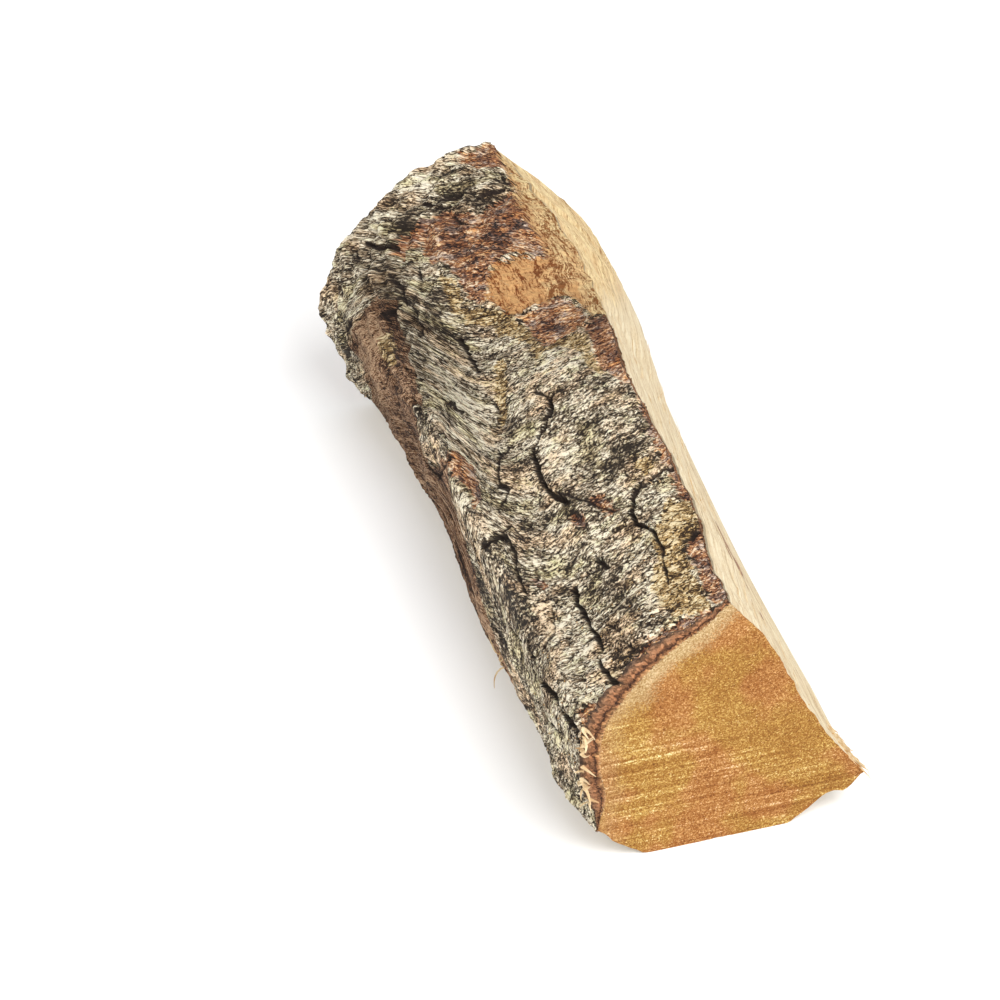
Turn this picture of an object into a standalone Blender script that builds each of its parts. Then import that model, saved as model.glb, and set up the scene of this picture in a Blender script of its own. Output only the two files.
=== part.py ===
"""A split log of firewood: one grown piece, a wedge split out of a round trunk and sawn to length.

The log lies along Y on its lower split face. A section across it is a sector of the trunk: the pith
edge is low on the +X side, one split face rises from it to the crest, the bark runs from the crest
round to the foot on the -X side, and the other split face is the underside. The far end swells into
a knob, where the bark folds and the upper split face bulges. Sizes are in metres.
"""

import math

import bmesh
import bpy
import numpy as np

# Driving sizes
LOG_LENGTH = 0.300
BARK_SCALE = 0.120      # trunk radius that turns an angle into a distance along the bark
PITH_HEIGHT = 0.0175    # height of the pith edge over the surface
FOOT_ANGLE = 181.0      # degrees about the pith edge, where the bark ends low on the left
FOOT_REACH = 0.019      # how far the torn facet under the foot runs in

# Mesh steps along the log, and round each strip of its section
STATIONS = 92
SPLIT_STEPS = 8
BARK_STEPS = 40
FACET_STEPS = 2
UNDER_STEPS = 9

# Slow changes along the length, as (place along Y, value)
PITH_X = ((-0.150, 0.0535), (-0.135, 0.0515), (-0.100, 0.0520), (-0.020, 0.0538), (0.040, 0.0575),
          (0.150, 0.0655))
TRUNK_RADIUS = ((-0.150, 0.1185), (-0.050, 0.1215), (0.040, 0.1230), (0.085, 0.1290),
                (0.127, 0.1375), (0.150, 0.1450))
CREST_ANGLE = ((-0.150, 121.5), (-0.105, 118.0), (-0.057, 116.2), (0.030, 114.5), (0.080, 116.0),
               (0.150, 121.5))
CREST_FALL = ((-0.150, 0.072), (-0.050, 0.095), (0.030, 0.095), (0.090, 0.120), (0.150, 0.165))
FOOT_FALL = ((-0.150, 0.125), (0.070, 0.118), (0.150, 0.130))
FOOT_START = ((-0.150, 0.52), (0.070, 0.54), (0.150, 0.68))
SPLIT_BULGE = ((-0.150, -0.0003), (0.030, 0.0000), (0.050, 0.0012), (0.070, 0.0055),
               (0.095, 0.0092), (0.120, 0.0108), (0.150, 0.0122))
SPLIT_TWIST = ((-0.150, 0.0017), (0.000, 0.0008), (0.060, 0.0000), (0.150, -0.0008))
BULGE_SHARPNESS = 1.6

# Fissures in the bark: depth, half width, and points as (place along Y, angle about the pith edge)
FISSURES = (
    (0.0048, 0.0030, ((-0.008, 131.5), (-0.024, 134.0), (-0.032, 138.0), (-0.056, 138.8),
                      (-0.072, 135.0), (-0.086, 129.5))),
    (0.0038, 0.0028, ((-0.079, 117.0), (-0.083, 126.0), (-0.095, 128.2), (-0.120, 127.0))),
    (0.0045, 0.0028, ((-0.100, 143.6), (-0.112, 144.8), (-0.132, 144.8), (-0.150, 146.4))),
    (0.0040, 0.0030, ((-0.040, 156.5), (-0.050, 151.5), (-0.066, 151.0), (-0.086, 152.2))),
    (0.0042, 0.0030, ((-0.095, 157.6), (-0.112, 160.0), (-0.128, 157.6), (-0.150, 158.8))),
    (0.0028, 0.0026, ((-0.012, 144.0), (-0.026, 145.6), (-0.042, 145.0))),
    (0.0034, 0.0028, ((0.052, 142.0), (0.040, 142.6), (0.026, 141.4))),
    (0.0040, 0.0034, ((0.140, 161.0), (0.122, 157.0), (0.100, 151.5), (0.078, 150.0))),
    (0.0036, 0.0034, ((0.150, 141.0), (0.132, 137.0), (0.114, 138.5), (0.098, 135.0))),
    (0.0034, 0.0030, ((0.020, 163.0), (-0.010, 160.0), (-0.036, 163.5), (-0.070, 167.0))),
)
LIP_SHARE = 0.18        # height of a fissure's lips, as a share of its depth
LIP_OFFSET = 2.6        # and their distance from its middle, in half widths
WANDER = 0.0012

# Swellings and hollows round the knob: place along Y, angle, height and spread
LUMPS = (
    (0.088, 128.0, 0.0045, 0.030),
    (0.128, 146.0, 0.0035, 0.014),
    (0.112, 164.0, 0.0030, 0.016),
    (0.136, 128.0, 0.0022, 0.012),
    (0.094, 133.5, -0.0040, 0.0065),
    (0.106, 124.5, -0.0036, 0.0060),
)

# Plates and crumbs of the bark, and the folds that ring the knob
PLATE_HEIGHT = 0.0018
PLATE_SIZE = (0.024, 0.016)
CRUMB_HEIGHT = 0.0009
CRUMB_SIZE = (0.0085, 0.0075)
KNOB_CRUMBS = 0.9
KNOB_Y = 0.088
KNOB_ANGLE = 128.0
FOLD_PITCH = 0.0090
FOLD_HEIGHT = 0.0013

# Where the wood is bare at the crest, and the flake that has come off near the sawn end
BARE_Y = 0.052
BARE_ANGLE = 116.0
BARE_LENGTH = 0.034
BARE_WIDTH = 0.030
BARE_DEPTH = 0.0026
LEDGE = ((-0.150, 126.0), (-0.128, 124.2), (-0.112, 121.0), (-0.100, 117.5))
LEDGE_DEPTH = 0.0022

# Tears in the split faces
GRAIN_HEIGHT = 0.0010
FLAT_RELIEF = 0.0012
FLAT_SINK = 0.0004      # how far the tears are let down, so that their low spots lie flat
FACET_DENT = 0.0010

# Finishes: colour, roughness
BARK_FINISH = ((0.29, 0.23, 0.17, 1.0), 0.92)
SPLIT_FINISH = ((0.72, 0.55, 0.34, 1.0), 0.78)
SAWN_FINISH = ((0.58, 0.31, 0.10, 1.0), 0.82)
BARK, SPLIT, SAWN = range(3)
SHARP_ANGLE = math.radians(55.0)


def clear_scene():
    """Remove whatever the scene holds."""
    for item in list(bpy.data.objects):
        bpy.data.objects.remove(item, do_unlink=True)


def curve(points, place):
    """Read a smooth curve through (place, value) points, level beyond its ends."""
    knots = np.array([point[0] for point in points])
    values = np.array([point[1] for point in points])
    slopes = np.gradient(values, knots)
    place = np.clip(place, knots[0], knots[-1])
    left = np.clip(np.searchsorted(knots, place, side="right") - 1, 0, len(knots) - 2)
    width = knots[left + 1] - knots[left]
    part = (place - knots[left]) / width
    blend = part * part * (3.0 - 2.0 * part)
    level = values[left] * (1.0 - blend) + values[left + 1] * blend
    start_slope = part * (1.0 - part) ** 2 * slopes[left]
    end_slope = part**2 * (part - 1.0) * slopes[left + 1]
    return level + width * (start_slope + end_slope)


def ease(low, high, value):
    """Go smoothly from 0 at low to 1 at high."""
    part = np.clip((value - low) / (high - low), 0.0, 1.0)
    return part * part * (3.0 - 2.0 * part)


def noise(along, across, seed):
    """Smooth noise from -1 to 1 that has about one swing for each unit along and across."""
    table = np.random.default_rng(seed).random((64, 64)) * 2.0 - 1.0
    column = np.floor(along).astype(int)
    row = np.floor(across).astype(int)
    along_part = ease(0.0, 1.0, along - column)
    across_part = ease(0.0, 1.0, across - row)
    near = table[column % 64, row % 64] * (1 - along_part)
    near = near + table[(column + 1) % 64, row % 64] * along_part
    far = table[column % 64, (row + 1) % 64] * (1 - along_part)
    far = far + table[(column + 1) % 64, (row + 1) % 64] * along_part
    return near * (1 - across_part) + far * across_part


def arc_of(angle):
    """Distance along the bark for an angle about the pith edge."""
    return BARK_SCALE * np.radians(angle)


def line_distance(points, y, arc):
    """Distance along the bark from each place to a broken line of (Y, angle) points."""
    nearest = np.full(np.shape(y), LOG_LENGTH)
    for first, second in zip(points[:-1], points[1:]):
        start = arc_of(first[1])
        step_y = second[0] - first[0]
        step_arc = arc_of(second[1]) - start
        run = (y - first[0]) * step_y + (arc - start) * step_arc
        part = np.clip(run / (step_y**2 + step_arc**2), 0.0, 1.0)
        gap = np.hypot(y - first[0] - part * step_y, arc - start - part * step_arc)
        nearest = np.minimum(nearest, gap)
    return nearest


def fissure_relief(y, arc, wander):
    """Depth of the fissures, with the low lips along them."""
    height = np.zeros_like(arc)
    for depth, half_width, points in FISSURES:
        gap = np.abs(line_distance(points, y, arc) + wander)
        height = height - depth * np.exp(-((gap / half_width) ** 2))
        height = height + LIP_SHARE * depth * np.exp(-((gap / half_width - LIP_OFFSET) ** 2))
    return height


def knob_relief(y, arc, wander):
    """Height of the swellings and hollows of the knob, and of the folds that ring it on its low side."""
    height = np.zeros_like(arc)
    for lump_y, lump_angle, lump_height, spread in LUMPS:
        reach = np.hypot(y - lump_y, arc - arc_of(lump_angle))
        height = height + lump_height * np.exp(-((reach / spread) ** 2))
    across = arc - arc_of(KNOB_ANGLE)
    reach = np.hypot(y - KNOB_Y, across)
    folded = ease(0.026, 0.040, reach) * (1.0 - ease(0.060, 0.095, reach)) * ease(-0.010, 0.020, across)
    wave = np.sin(2.0 * math.pi * reach / FOLD_PITCH + 2.0 * wander / WANDER)
    return height + folded * FOLD_HEIGHT * wave


def bark_relief(y, angle):
    """Height of the bark over the plain trunk."""
    arc = arc_of(angle)
    plates = PLATE_HEIGHT * noise(y / PLATE_SIZE[0], arc / PLATE_SIZE[1], 3)
    crumbs = CRUMB_HEIGHT * noise(y / CRUMB_SIZE[0], arc / CRUMB_SIZE[1], 4)
    crumbs = crumbs * (1.0 + KNOB_CRUMBS * ease(0.055, 0.110, y))
    wander = WANDER * noise(y / 0.010, arc / 0.010, 5)
    height = plates + crumbs + fissure_relief(y, arc, wander) + knob_relief(y, arc, wander)
    bare = np.hypot((y - BARE_Y) / BARE_LENGTH, (arc - arc_of(BARE_ANGLE)) / BARE_WIDTH)
    height = height * ease(0.70, 1.0, bare) - BARE_DEPTH * (1.0 - ease(0.86, 1.06, bare))
    ledge_angle = np.interp(y, [point[0] for point in LEDGE], [point[1] for point in LEDGE], right=0.0)
    return height - LEDGE_DEPTH * (1.0 - ease(-1.6, 1.2, angle - ledge_angle))


def bark_point(part, y):
    """A point of the bark, with part 0 at the crest and 1 at the foot."""
    crest = curve(CREST_ANGLE, y)
    angle = crest + part * (FOOT_ANGLE - crest)
    fall = curve(CREST_FALL, y) * (1.0 - part) ** 3
    foot = curve(FOOT_FALL, y) * ease(curve(FOOT_START, y), 1.0, part)
    radius = curve(TRUNK_RADIUS, y) * (1.0 - fall - foot) + bark_relief(y, angle)
    x = curve(PITH_X, y) + radius * np.cos(np.radians(angle))
    return x, PITH_HEIGHT + radius * np.sin(np.radians(angle))


def split_point(part, y):
    """A point of the upper split face, with part 0 at the pith edge and 1 at the crest."""
    pith_x = curve(PITH_X, y)
    crest_x, crest_z = bark_point(np.zeros_like(y), y)
    run_x = crest_x - pith_x
    run_z = crest_z - PITH_HEIGHT
    length = np.hypot(run_x, run_z)
    arch = np.abs(np.sin(math.pi * part))
    swell = curve(SPLIT_BULGE, y) * arch**BULGE_SHARPNESS
    swell = swell - curve(SPLIT_TWIST, y) * np.sin(2.0 * math.pi * part)
    grain = noise(y / 0.090, part * 3.5, 12) + 0.6 * noise(y / 0.060, part * 9.0, 11)
    height = swell + GRAIN_HEIGHT * grain * np.sqrt(arch)
    x = pith_x + run_x * part + height * run_z / length
    return x, PITH_HEIGHT + run_z * part - height * run_x / length


def under_point(part, y):
    """A point of the underside, with part 0 at the foot facet and 1 at the pith edge."""
    foot_x, _ = bark_point(np.ones_like(y), y)
    start_x = foot_x + FOOT_REACH
    pith_x = curve(PITH_X, y)
    x = start_x + (pith_x - start_x) * part
    tears = noise(y / 0.050, part * 7.0, 21) + 0.6 * noise(y / 0.025, part * 11.0, 22)
    tears = FLAT_RELIEF * tears * (1.0 - ease(0.9, 1.0, part))
    rise = PITH_HEIGHT * (0.58 * ease(0.62, 0.86, part) + 0.42 * ease(0.90, 1.0, part))
    return x, np.maximum(0.0, tears + rise - FLAT_SINK * (1.0 - ease(0.9, 1.0, part)))


def facet_point(part, y):
    """A point of the torn facet, with part 0 at the bark's foot and 1 at the underside."""
    foot_x, foot_z = bark_point(np.ones_like(y), y)
    under_x, under_z = under_point(np.zeros_like(y), y)
    dent = FACET_DENT * noise(y / 0.030, part * 2.0, 31) * np.sin(math.pi * part)
    return foot_x + (under_x - foot_x) * part + dent, foot_z + (under_z - foot_z) * part + 0.5 * dent


def outline(y):
    """The section at y as a closed loop of points, and the finish of the strip after each point."""
    points = []
    finishes = []
    strips = ((split_point, SPLIT_STEPS, SPLIT), (bark_point, BARK_STEPS, BARK),
              (facet_point, FACET_STEPS, SPLIT), (under_point, UNDER_STEPS, SPLIT))
    for make_point, steps, finish in strips:
        for step in range(steps):
            part = np.full_like(y, step / steps)
            points.append(np.stack(make_point(part, y), axis=-1))
            finishes.append(finish)
    return np.array(points), finishes


def wood_material(name, finish):
    """A plain Principled material."""
    material = bpy.data.materials.new(name)
    material.use_nodes = True
    shader = material.node_tree.nodes["Principled BSDF"]
    shader.inputs["Base Color"].default_value = finish[0]
    shader.inputs["Roughness"].default_value = finish[1]
    shader.inputs["Metallic"].default_value = 0.0
    return material


def build_log():
    """Skin the sections into one closed solid, centred over the origin."""
    stations = np.linspace(-LOG_LENGTH / 2, LOG_LENGTH / 2, STATIONS)
    loops, finishes = outline(stations)
    middle = 0.5 * (loops[:, :, 0].min() + loops[:, :, 0].max())
    body = bmesh.new()
    rows = []
    for index, y in enumerate(stations):
        rows.append([body.verts.new((loop[index, 0] - middle, y, loop[index, 1])) for loop in loops])
    count = len(finishes)
    for near, far in zip(rows[:-1], rows[1:]):
        for side in range(count):
            after = (side + 1) % count
            face = body.faces.new((near[side], far[side], far[after], near[after]))
            face.material_index = finishes[side]
            face.smooth = True
    for end in (rows[0], rows[-1][::-1]):
        cap = body.faces.new(end)
        cap.material_index = SAWN
    bmesh.ops.triangulate(body, faces=body.faces[:])
    mesh = bpy.data.meshes.new("split_log")
    body.to_mesh(mesh)
    body.free()
    mesh.materials.append(wood_material("bark", BARK_FINISH))
    mesh.materials.append(wood_material("split_wood", SPLIT_FINISH))
    mesh.materials.append(wood_material("sawn_end", SAWN_FINISH))
    mesh.set_sharp_from_angle(angle=SHARP_ANGLE)
    log = bpy.data.objects.new("split_log", mesh)
    bpy.context.scene.collection.objects.link(log)
    return log


def main():
    """Build the part."""
    clear_scene()
    build_log()


main()
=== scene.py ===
"""Looks of the split log: its wood, its bark with the knob, the splinters and the sawdust on it.

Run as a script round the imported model. Sizes are in metres, and marks on the bark are in millimetres
along the log and degrees about the pith edge.
"""

import math

import bpy
import numpy as np
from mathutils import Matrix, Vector


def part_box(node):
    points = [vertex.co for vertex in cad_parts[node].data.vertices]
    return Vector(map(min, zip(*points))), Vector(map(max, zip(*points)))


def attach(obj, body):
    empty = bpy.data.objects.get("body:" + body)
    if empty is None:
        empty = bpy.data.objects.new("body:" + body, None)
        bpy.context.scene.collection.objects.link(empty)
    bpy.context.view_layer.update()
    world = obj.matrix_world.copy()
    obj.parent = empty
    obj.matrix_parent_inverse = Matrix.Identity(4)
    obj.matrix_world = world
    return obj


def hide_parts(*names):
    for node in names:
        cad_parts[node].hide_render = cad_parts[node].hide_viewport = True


bl_info = {
    "name": "Split Log",
    "version": (1, 0, 0),
    "blender": (4, 5, 0),
    "location": "3D View > Sidebar > Split Log",
    "description": "Dresses a split firewood log with wood, bark, splinters and sawdust",
    "category": "Object",
}

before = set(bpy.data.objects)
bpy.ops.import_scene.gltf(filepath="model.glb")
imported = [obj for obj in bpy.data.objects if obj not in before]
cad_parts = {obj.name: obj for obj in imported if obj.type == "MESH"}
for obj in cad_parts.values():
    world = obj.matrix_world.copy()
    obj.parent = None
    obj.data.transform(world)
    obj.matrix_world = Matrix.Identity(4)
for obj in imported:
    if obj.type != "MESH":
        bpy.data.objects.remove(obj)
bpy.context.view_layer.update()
LOG_LOW, LOG_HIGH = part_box("split_log")
MM = 0.001

# The form, as the solid has it
LOG_LENGTH = LOG_HIGH.y - LOG_LOW.y
BARK_SCALE = 0.120
PITH_HEIGHT = 0.0175
FOOT_ANGLE = 181.0
FOOT_REACH = 0.019
PITH_X = ((-0.150, 0.0535), (-0.135, 0.0515), (-0.100, 0.0520), (-0.020, 0.0538), (0.040, 0.0575),
          (0.150, 0.0655))
TRUNK_RADIUS = ((-0.150, 0.1185), (-0.050, 0.1215), (0.040, 0.1230), (0.085, 0.1290),
                (0.127, 0.1375), (0.150, 0.1450))
CREST_ANGLE = ((-0.150, 121.5), (-0.105, 118.2), (-0.057, 117.0), (-0.010, 116.3), (0.015, 115.4),
               (0.080, 116.0), (0.150, 121.5))
CREST_FALL = ((-0.150, 0.072), (-0.050, 0.095), (0.030, 0.095), (0.090, 0.120), (0.150, 0.165))
FOOT_FALL = ((-0.150, 0.125), (0.070, 0.118), (0.150, 0.130))
FOOT_START = ((-0.150, 0.52), (0.070, 0.54), (0.150, 0.68))
SPLIT_BULGE = ((-0.150, -0.0003), (0.030, 0.0000), (0.050, 0.0012), (0.070, 0.0055),
               (0.095, 0.0092), (0.120, 0.0108), (0.150, 0.0122))
SPLIT_TWIST = ((-0.150, 0.0017), (0.000, 0.0008), (0.060, 0.0000), (0.150, -0.0008))
BULGE_SHARPNESS = 1.6
MIDDLE_X = PITH_X[-1][1] - LOG_HIGH.x
GRAIN_HEIGHT = 0.0010
FLAT_RELIEF = 0.0012
FLAT_SINK = 0.0004

# Bark thickness at the crest along the length, and over the rest
CREST_THICKNESS = ((-0.150, 0.0030), (-0.120, 0.0036), (-0.090, 0.0052), (0.000, 0.0052),
                   (0.020, 0.0046), (0.050, 0.0042), (0.150, 0.0040))
BARK_THICKNESS = 0.0072
LEAST_THICKNESS = 0.0007
BARK_OVERLAP = 0.0003
CREST_RAG = 0.35

# Fissures: depth and half width in millimetres, and points as (millimetres along Y, degrees)
FISSURES = (
    (5.2, 1.05, ((-10, 131.5), (-16, 132.3), (-22, 133.5), (-26, 136.5), (-31, 138.3), (-38, 139.2),
        (-52, 139.0), (-60, 138.2), (-67, 136.4))),
    (1.6, 0.5, ((-58, 137.6), (-64, 135.8), (-70, 134.4), (-77, 132.6), (-84, 129.8))),
    (4.4, 0.8, ((-78, 117.5), (-79, 121.8), (-81, 126.0), (-88, 128.0), (-94, 128.5), (-99, 126.8),
        (-104, 126.0), (-112, 125.8))),
    (2.4, 0.6, ((-112, 125.8), (-120, 127.0), (-129, 127.9))),
    (5.0, 1.15, ((-100, 144.0), (-103, 143.8), (-108, 144.5), (-120, 144.0), (-134, 143.8))),
    (4.6, 1.0, ((-137, 145.8), (-150, 146.2))),
    (4.0, 1.1, ((-36, 158.5), (-39, 157.0), (-43, 153.5), (-50, 151.5), (-62, 151.0), (-72, 152.0),
        (-81, 152.6))),
    (4.4, 1.3, ((-112, 160.2), (-124, 158.0), (-130, 157.2), (-137, 158.4), (-144, 157.8),
        (-150, 160.0))),
    (3.6, 0.8, ((-109, 151.0), (-107, 154.0), (-104, 158.0), (-100, 159.0), (-93, 157.5))),
    (2.6, 0.8, ((-14, 144.5), (-20, 145.8), (-28, 147.5), (-34, 146.5))),
    (3.4, 0.85, ((30, 141.5), (38, 142.3), (44, 142.5), (50, 142.5), (57, 143.2))),
    (2.8, 0.7, ((74, 149.3), (82, 148.2), (90, 147.6))),
    (2.6, 0.7, ((95, 148.6), (104, 148.0), (113, 148.4))),
    (3.2, 0.9, ((120, 144.5), (128, 147.2), (136, 148.6))),
    (4.4, 1.7, ((117, 160.0), (121, 161.5), (126, 165.5), (133, 170.0), (143, 175.0))),
    (3.2, 0.9, ((19, 157.5), (23, 161.0), (30, 164.0), (38, 168.5), (52, 170.5), (70, 172.0))),
    (3.0, 1.0, ((-26, 161.0), (-40, 164.5), (-58, 168.0), (-76, 170.0))),
    (2.6, 1.0, ((114, 122.5), (116, 127.5))),
    (2.4, 0.8, ((122, 130.0), (126, 135.5), (131, 137.0))),
    (2.4, 0.8, ((99, 150.0), (104, 153.8), (106, 154.2))),
    (2.2, 0.7, ((22, 148.8), (30, 149.5), (36, 151.0))),
    (2.2, 0.6, ((104, 131.2), (110, 132.8), (116, 133.4))),
    (2.8, 1.2, ((-98, 137.3), (-105, 136.3))),
    (3.0, 1.6, ((-114, 119.5), (-116, 122.0))),
)
HAIR_CRACKS = (
    ((-48, 149.0), (-44, 152.5)), ((-19, 139.0), (-18, 144.5)), ((-92, 130.0), (-91, 133.0)),
    ((-10, 131.5), (-1, 133.8)), ((-115, 122.5), (-117, 125.5)), ((-104, 136.0), (-99, 141.0)),
    ((-146, 139.8), (-135, 139.6), (-128, 141.0)), ((-34, 143.0), (-36, 150.0)),
    ((-82, 147.0), (-80, 152.0)), ((-60, 139.5), (-58, 146.0)), ((-125, 144.5), (-124, 151.0)),
    ((42, 128.5), (50, 133.0), (60, 139.0)), ((96, 143.8), (103, 143.4)), ((97, 154.0), (105, 154.2)),
    ((50, 160.0), (66, 159.4)), ((2, 141.5), (12, 141.8)), ((-64, 125.0), (-72, 125.2)),
    ((-144, 133.0), (-140, 138.0)), ((120, 133.0), (127, 138.0)), ((124, 151.0), (140, 151.5)),
    ((-24, 168.0), (8, 171.0), (28, 174.0)), ((-66, 171.0), (-34, 175.0)),
    ((38, 166.0), (60, 170.0), (84, 171.0)), ((-138, 150.0), (-130, 152.5)), ((-120, 149.0), (-112, 147.0)),
    ((-106, 151.0), (-96, 150.0)), ((-134, 163.0), (-118, 166.0), (-104, 165.0)),
    ((-90, 160.0), (-74, 163.0)), ((60, 154.0), (76, 156.5)),
)
HAIR_DEPTH = 1.5
HAIR_WIDTH = 0.50
CRACK_SHARE = 0.7
LIP_HEIGHT = 0.0003
PATCH_REACH = 6.0

# Ridges and hollows of the knob: millimetres along Y, degrees, height and spread in millimetres
LUMPS = (
    (88, 128.0, 4.5, 30), (128, 146.0, 3.5, 14), (112, 164.0, 3.0, 16), (136, 128.0, 2.2, 12),
    (94, 133.5, -3.0, 6.5), (106, 124.5, -2.4, 6.0), (103, 134.5, -2.6, 3.4), (30, 126.0, -2.0, 2.4),
)
BARE_ROUNDING = 0.0024
KNOB_Y = 0.088
KNOB_ANGLE = 128.0
PLATE_HEIGHT = 0.0018
CRUMB_HEIGHT = 0.0009
FOLD_PITCH = 0.0090
FOLD_HEIGHT = 0.0013
# Where the wrinkles of the bark turn from round the trunk to slanting up towards the knob
SWIRL_ANGLE = 143.0
SWIRL_SLOPE = 1.7
LEFT_SLOPE = 0.6
KNOB_LEAN = 0.7

# Outlines of the places where the bark differs, as (millimetres along Y, degrees), after a strength
BARE = (
    (1.0, ((20, 113), (20, 118.3), (27, 118.6), (36, 119.4), (41, 121.6), (42.5, 127.5), (46, 131),
        (51, 132.4), (57, 133.4), (64, 134.2), (69, 132.4), (72, 128.5), (72, 125), (66, 122.4),
        (63, 120.8), (75, 120.4), (90, 121.2), (102, 121.6), (112, 121.0), (122, 121.4), (134, 121.6),
        (150, 119), (150, 112))),
)
INNER = (
    (1.0, ((-150, 118), (-140, 118), (-119, 116), (-113, 118.5), (-116, 121), (-124, 122.5),
        (-134, 123), (-144, 124), (-150, 124.5))),
    (1.0, ((-151, 124), (-147, 126), (-146, 131), (-147, 139), (-151, 140))),
    (0.9, ((-96, 116), (-60, 114), (-30, 114), (-31, 117.2), (-60, 118.3), (-72, 119), (-80, 118.5),
        (-90, 119), (-96, 119))),
    (1.0, ((-30, 114), (22, 113), (19.5, 118), (20, 121), (10, 120.3), (0, 120.6), (-8, 120.9),
        (-16, 119.6), (-24, 118.1))),
    (1.0, ((-84, 129.8), (-79, 130.1), (-73, 131.0), (-72, 133.2), (-78, 133.0), (-83, 132.2))),
    (0.85, ((-83, 135.2), (-78, 134.8), (-72, 136.3), (-72, 138.7), (-79, 138.3), (-84, 137))),
    (1.0, ((-22, 153), (-12, 152), (0, 152.5), (10, 153.5), (18, 155.5), (19, 158), (10, 158),
        (0, 157.5), (-8, 156), (-18, 155.5))),
    (0.9, ((-89, 147.7), (-82, 148), (-79, 150.2), (-88, 150))),
    (1.0, ((20, 118), (26, 118.9), (35, 119.6), (41, 122), (42, 127.5), (45, 131), (36, 129.9),
        (28, 129.4), (20, 128.2), (18.5, 124))),
    (1.0, ((62, 120.3), (70, 119.2), (82, 118.7), (93, 119.2), (101, 120.6), (109, 120.8), (110, 124),
        (101, 126.3), (90, 125.4), (80, 125.2), (71, 124.6))),
    (1.0, ((58, 133.4), (64, 134), (70, 131), (79, 129.4), (89, 130), (99, 130), (105, 129.4),
        (112, 130.5), (118, 134), (122, 138), (122, 142.4), (115, 141), (107, 140.6), (99, 140.4),
        (95, 138.4), (86, 137.3), (78, 137.4), (70, 137), (62, 136.6))),
    (0.95, ((72, 124), (110, 124.5), (108, 131), (72, 131))),
    (1.0, ((131, 120), (141, 120.5), (148, 122), (148, 127), (140, 127.5), (133, 126.2), (130, 123))),
    (0.9, ((108, 118.6), (120, 119), (119, 121.8), (110, 121.6))),
    (0.85, ((112, 139), (122, 139.5), (124, 146), (114, 145))),
    (0.9, ((-150, 151), (-146, 151.5), (-143, 155), (-150, 157))),
)
OCHRE = (
    (1.0, ((-151, 124.5), (-140, 124.2), (-128, 123.3), (-118, 122.6), (-113, 119.5), (-111, 116),
        (-96, 116), (-94, 121), (-100, 123.5), (-104, 126), (-116, 127.5), (-122, 130.3), (-134, 131.5),
        (-144, 130.6), (-147, 128))),
    (0.85, ((-76, 119.3), (-68, 120.2), (-65, 123), (-70, 124), (-77, 122.8))),
    (1.0, ((-16, 119.5), (-2, 120.8), (14, 120.6), (19, 123), (20.5, 128.5), (15, 129), (13, 125.5),
        (4, 123), (-8, 122.6))),
    (1.0, ((16, 127.8), (28, 129.2), (38, 130), (43, 131.3), (47, 133.6), (41, 135.5), (34, 132.9),
        (24, 131.4), (15.5, 130.8))),
    (0.85, ((-3, 139.8), (8, 138.3), (20, 136.8), (29, 136.4), (25, 139.6), (14, 141.2), (4, 142.4),
        (-3, 143.3))),
    (0.95, ((85, 155.8), (94, 154.8), (103, 157), (101, 160.2), (90, 160.8), (84, 158.5))),
    (0.95, ((45, 131), (54, 133.2), (61, 136.2), (66, 139.4), (58, 140), (50, 136), (43, 133.2))),
    (0.85, ((66, 140), (76, 137.6), (92, 138.6), (92, 140.6), (78, 141), (68, 142))),
    (0.8, ((126, 117), (146, 119), (144, 122), (126, 121))),
)
SMOOTH = (
    (1.0, ((20, 157), (27, 160.5), (34, 164), (48, 169), (58, 168), (62, 160.8), (56, 158.4),
        (60, 156.2), (70, 154.4), (80, 153.0), (91, 152.2), (103, 150.6), (113, 152.5), (116, 162.5),
        (119, 168), (125, 174), (132, 182), (-70, 182), (-60, 177), (-32, 173), (-6, 169), (8, 164),
        (12, 160))),
)

# Dark and pale places: millimetres along Y, degrees, half length and half width in millimetres, strength
DARK = (
    (-60, 122.5, 5, 7, 1), (-61, 128, 3, 6, 0.75), (-36, 126, 9, 4, 0.55), (-143, 135, 4, 8, 0.75),
    (-130, 135, 3, 5, 0.7), (-117, 139.6, 7, 4, 0.85), (-147, 142, 5, 7, 1), (-71, 135.8, 11, 6, 1),
    (-58, 147, 3, 5, 0.8), (-14, 127, 6, 9, 0.55), (115, 124.8, 6, 10, 1), (103, 134.8, 5.5, 3.5, 1),
    (124, 132.5, 8, 11, 0.8), (126, 142, 6, 12, 0.9), (95, 148.2, 24, 4, 1), (102, 152, 18, 8, 0.85),
    (131, 151.5, 13, 4, 0.9), (52, 142.3, 15, 5, 0.8), (88, 127.8, 17, 9, 0.6), (56, 160, 9, 4, 0.9),
    (125, 163, 8, 6, 1), (62, 145, 12, 5, 0.65), (-113, 120.5, 4, 4, 0.9), (-97, 158.3, 6, 4, 1),
    (-122, 137, 8, 3, 0.7), (30, 126, 5, 4, 0.95), (12, 117.8, 10, 3, 0.85), (-45, 171, 40, 8, 0.55),
    (80, 134, 10, 5, 0.7), (68, 151, 14, 8, 0.6), (-20, 162, 16, 5, 0.8), (-63, 172, 9, 8, 0.8),
    (60, 162.5, 22, 3, 0.9), (18, 160.5, 14, 3, 0.9), (-10, 163, 14, 3, 0.8), (36, 168, 7, 4, 0.9),
    (84, 156, 9, 6, 0.9), (72, 168, 12, 4, 0.7), (138, 131, 9, 6, 0.5), (84, 143, 20, 8, 0.5),
    (30, 178, 50, 7, 0.6), (-118, 176, 26, 6, 0.6), (-74, 156, 24, 9, 0.9), (92, 155, 16, 3, 0.8),
    (66, 156.5, 12, 2.5, 0.9),
)
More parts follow.
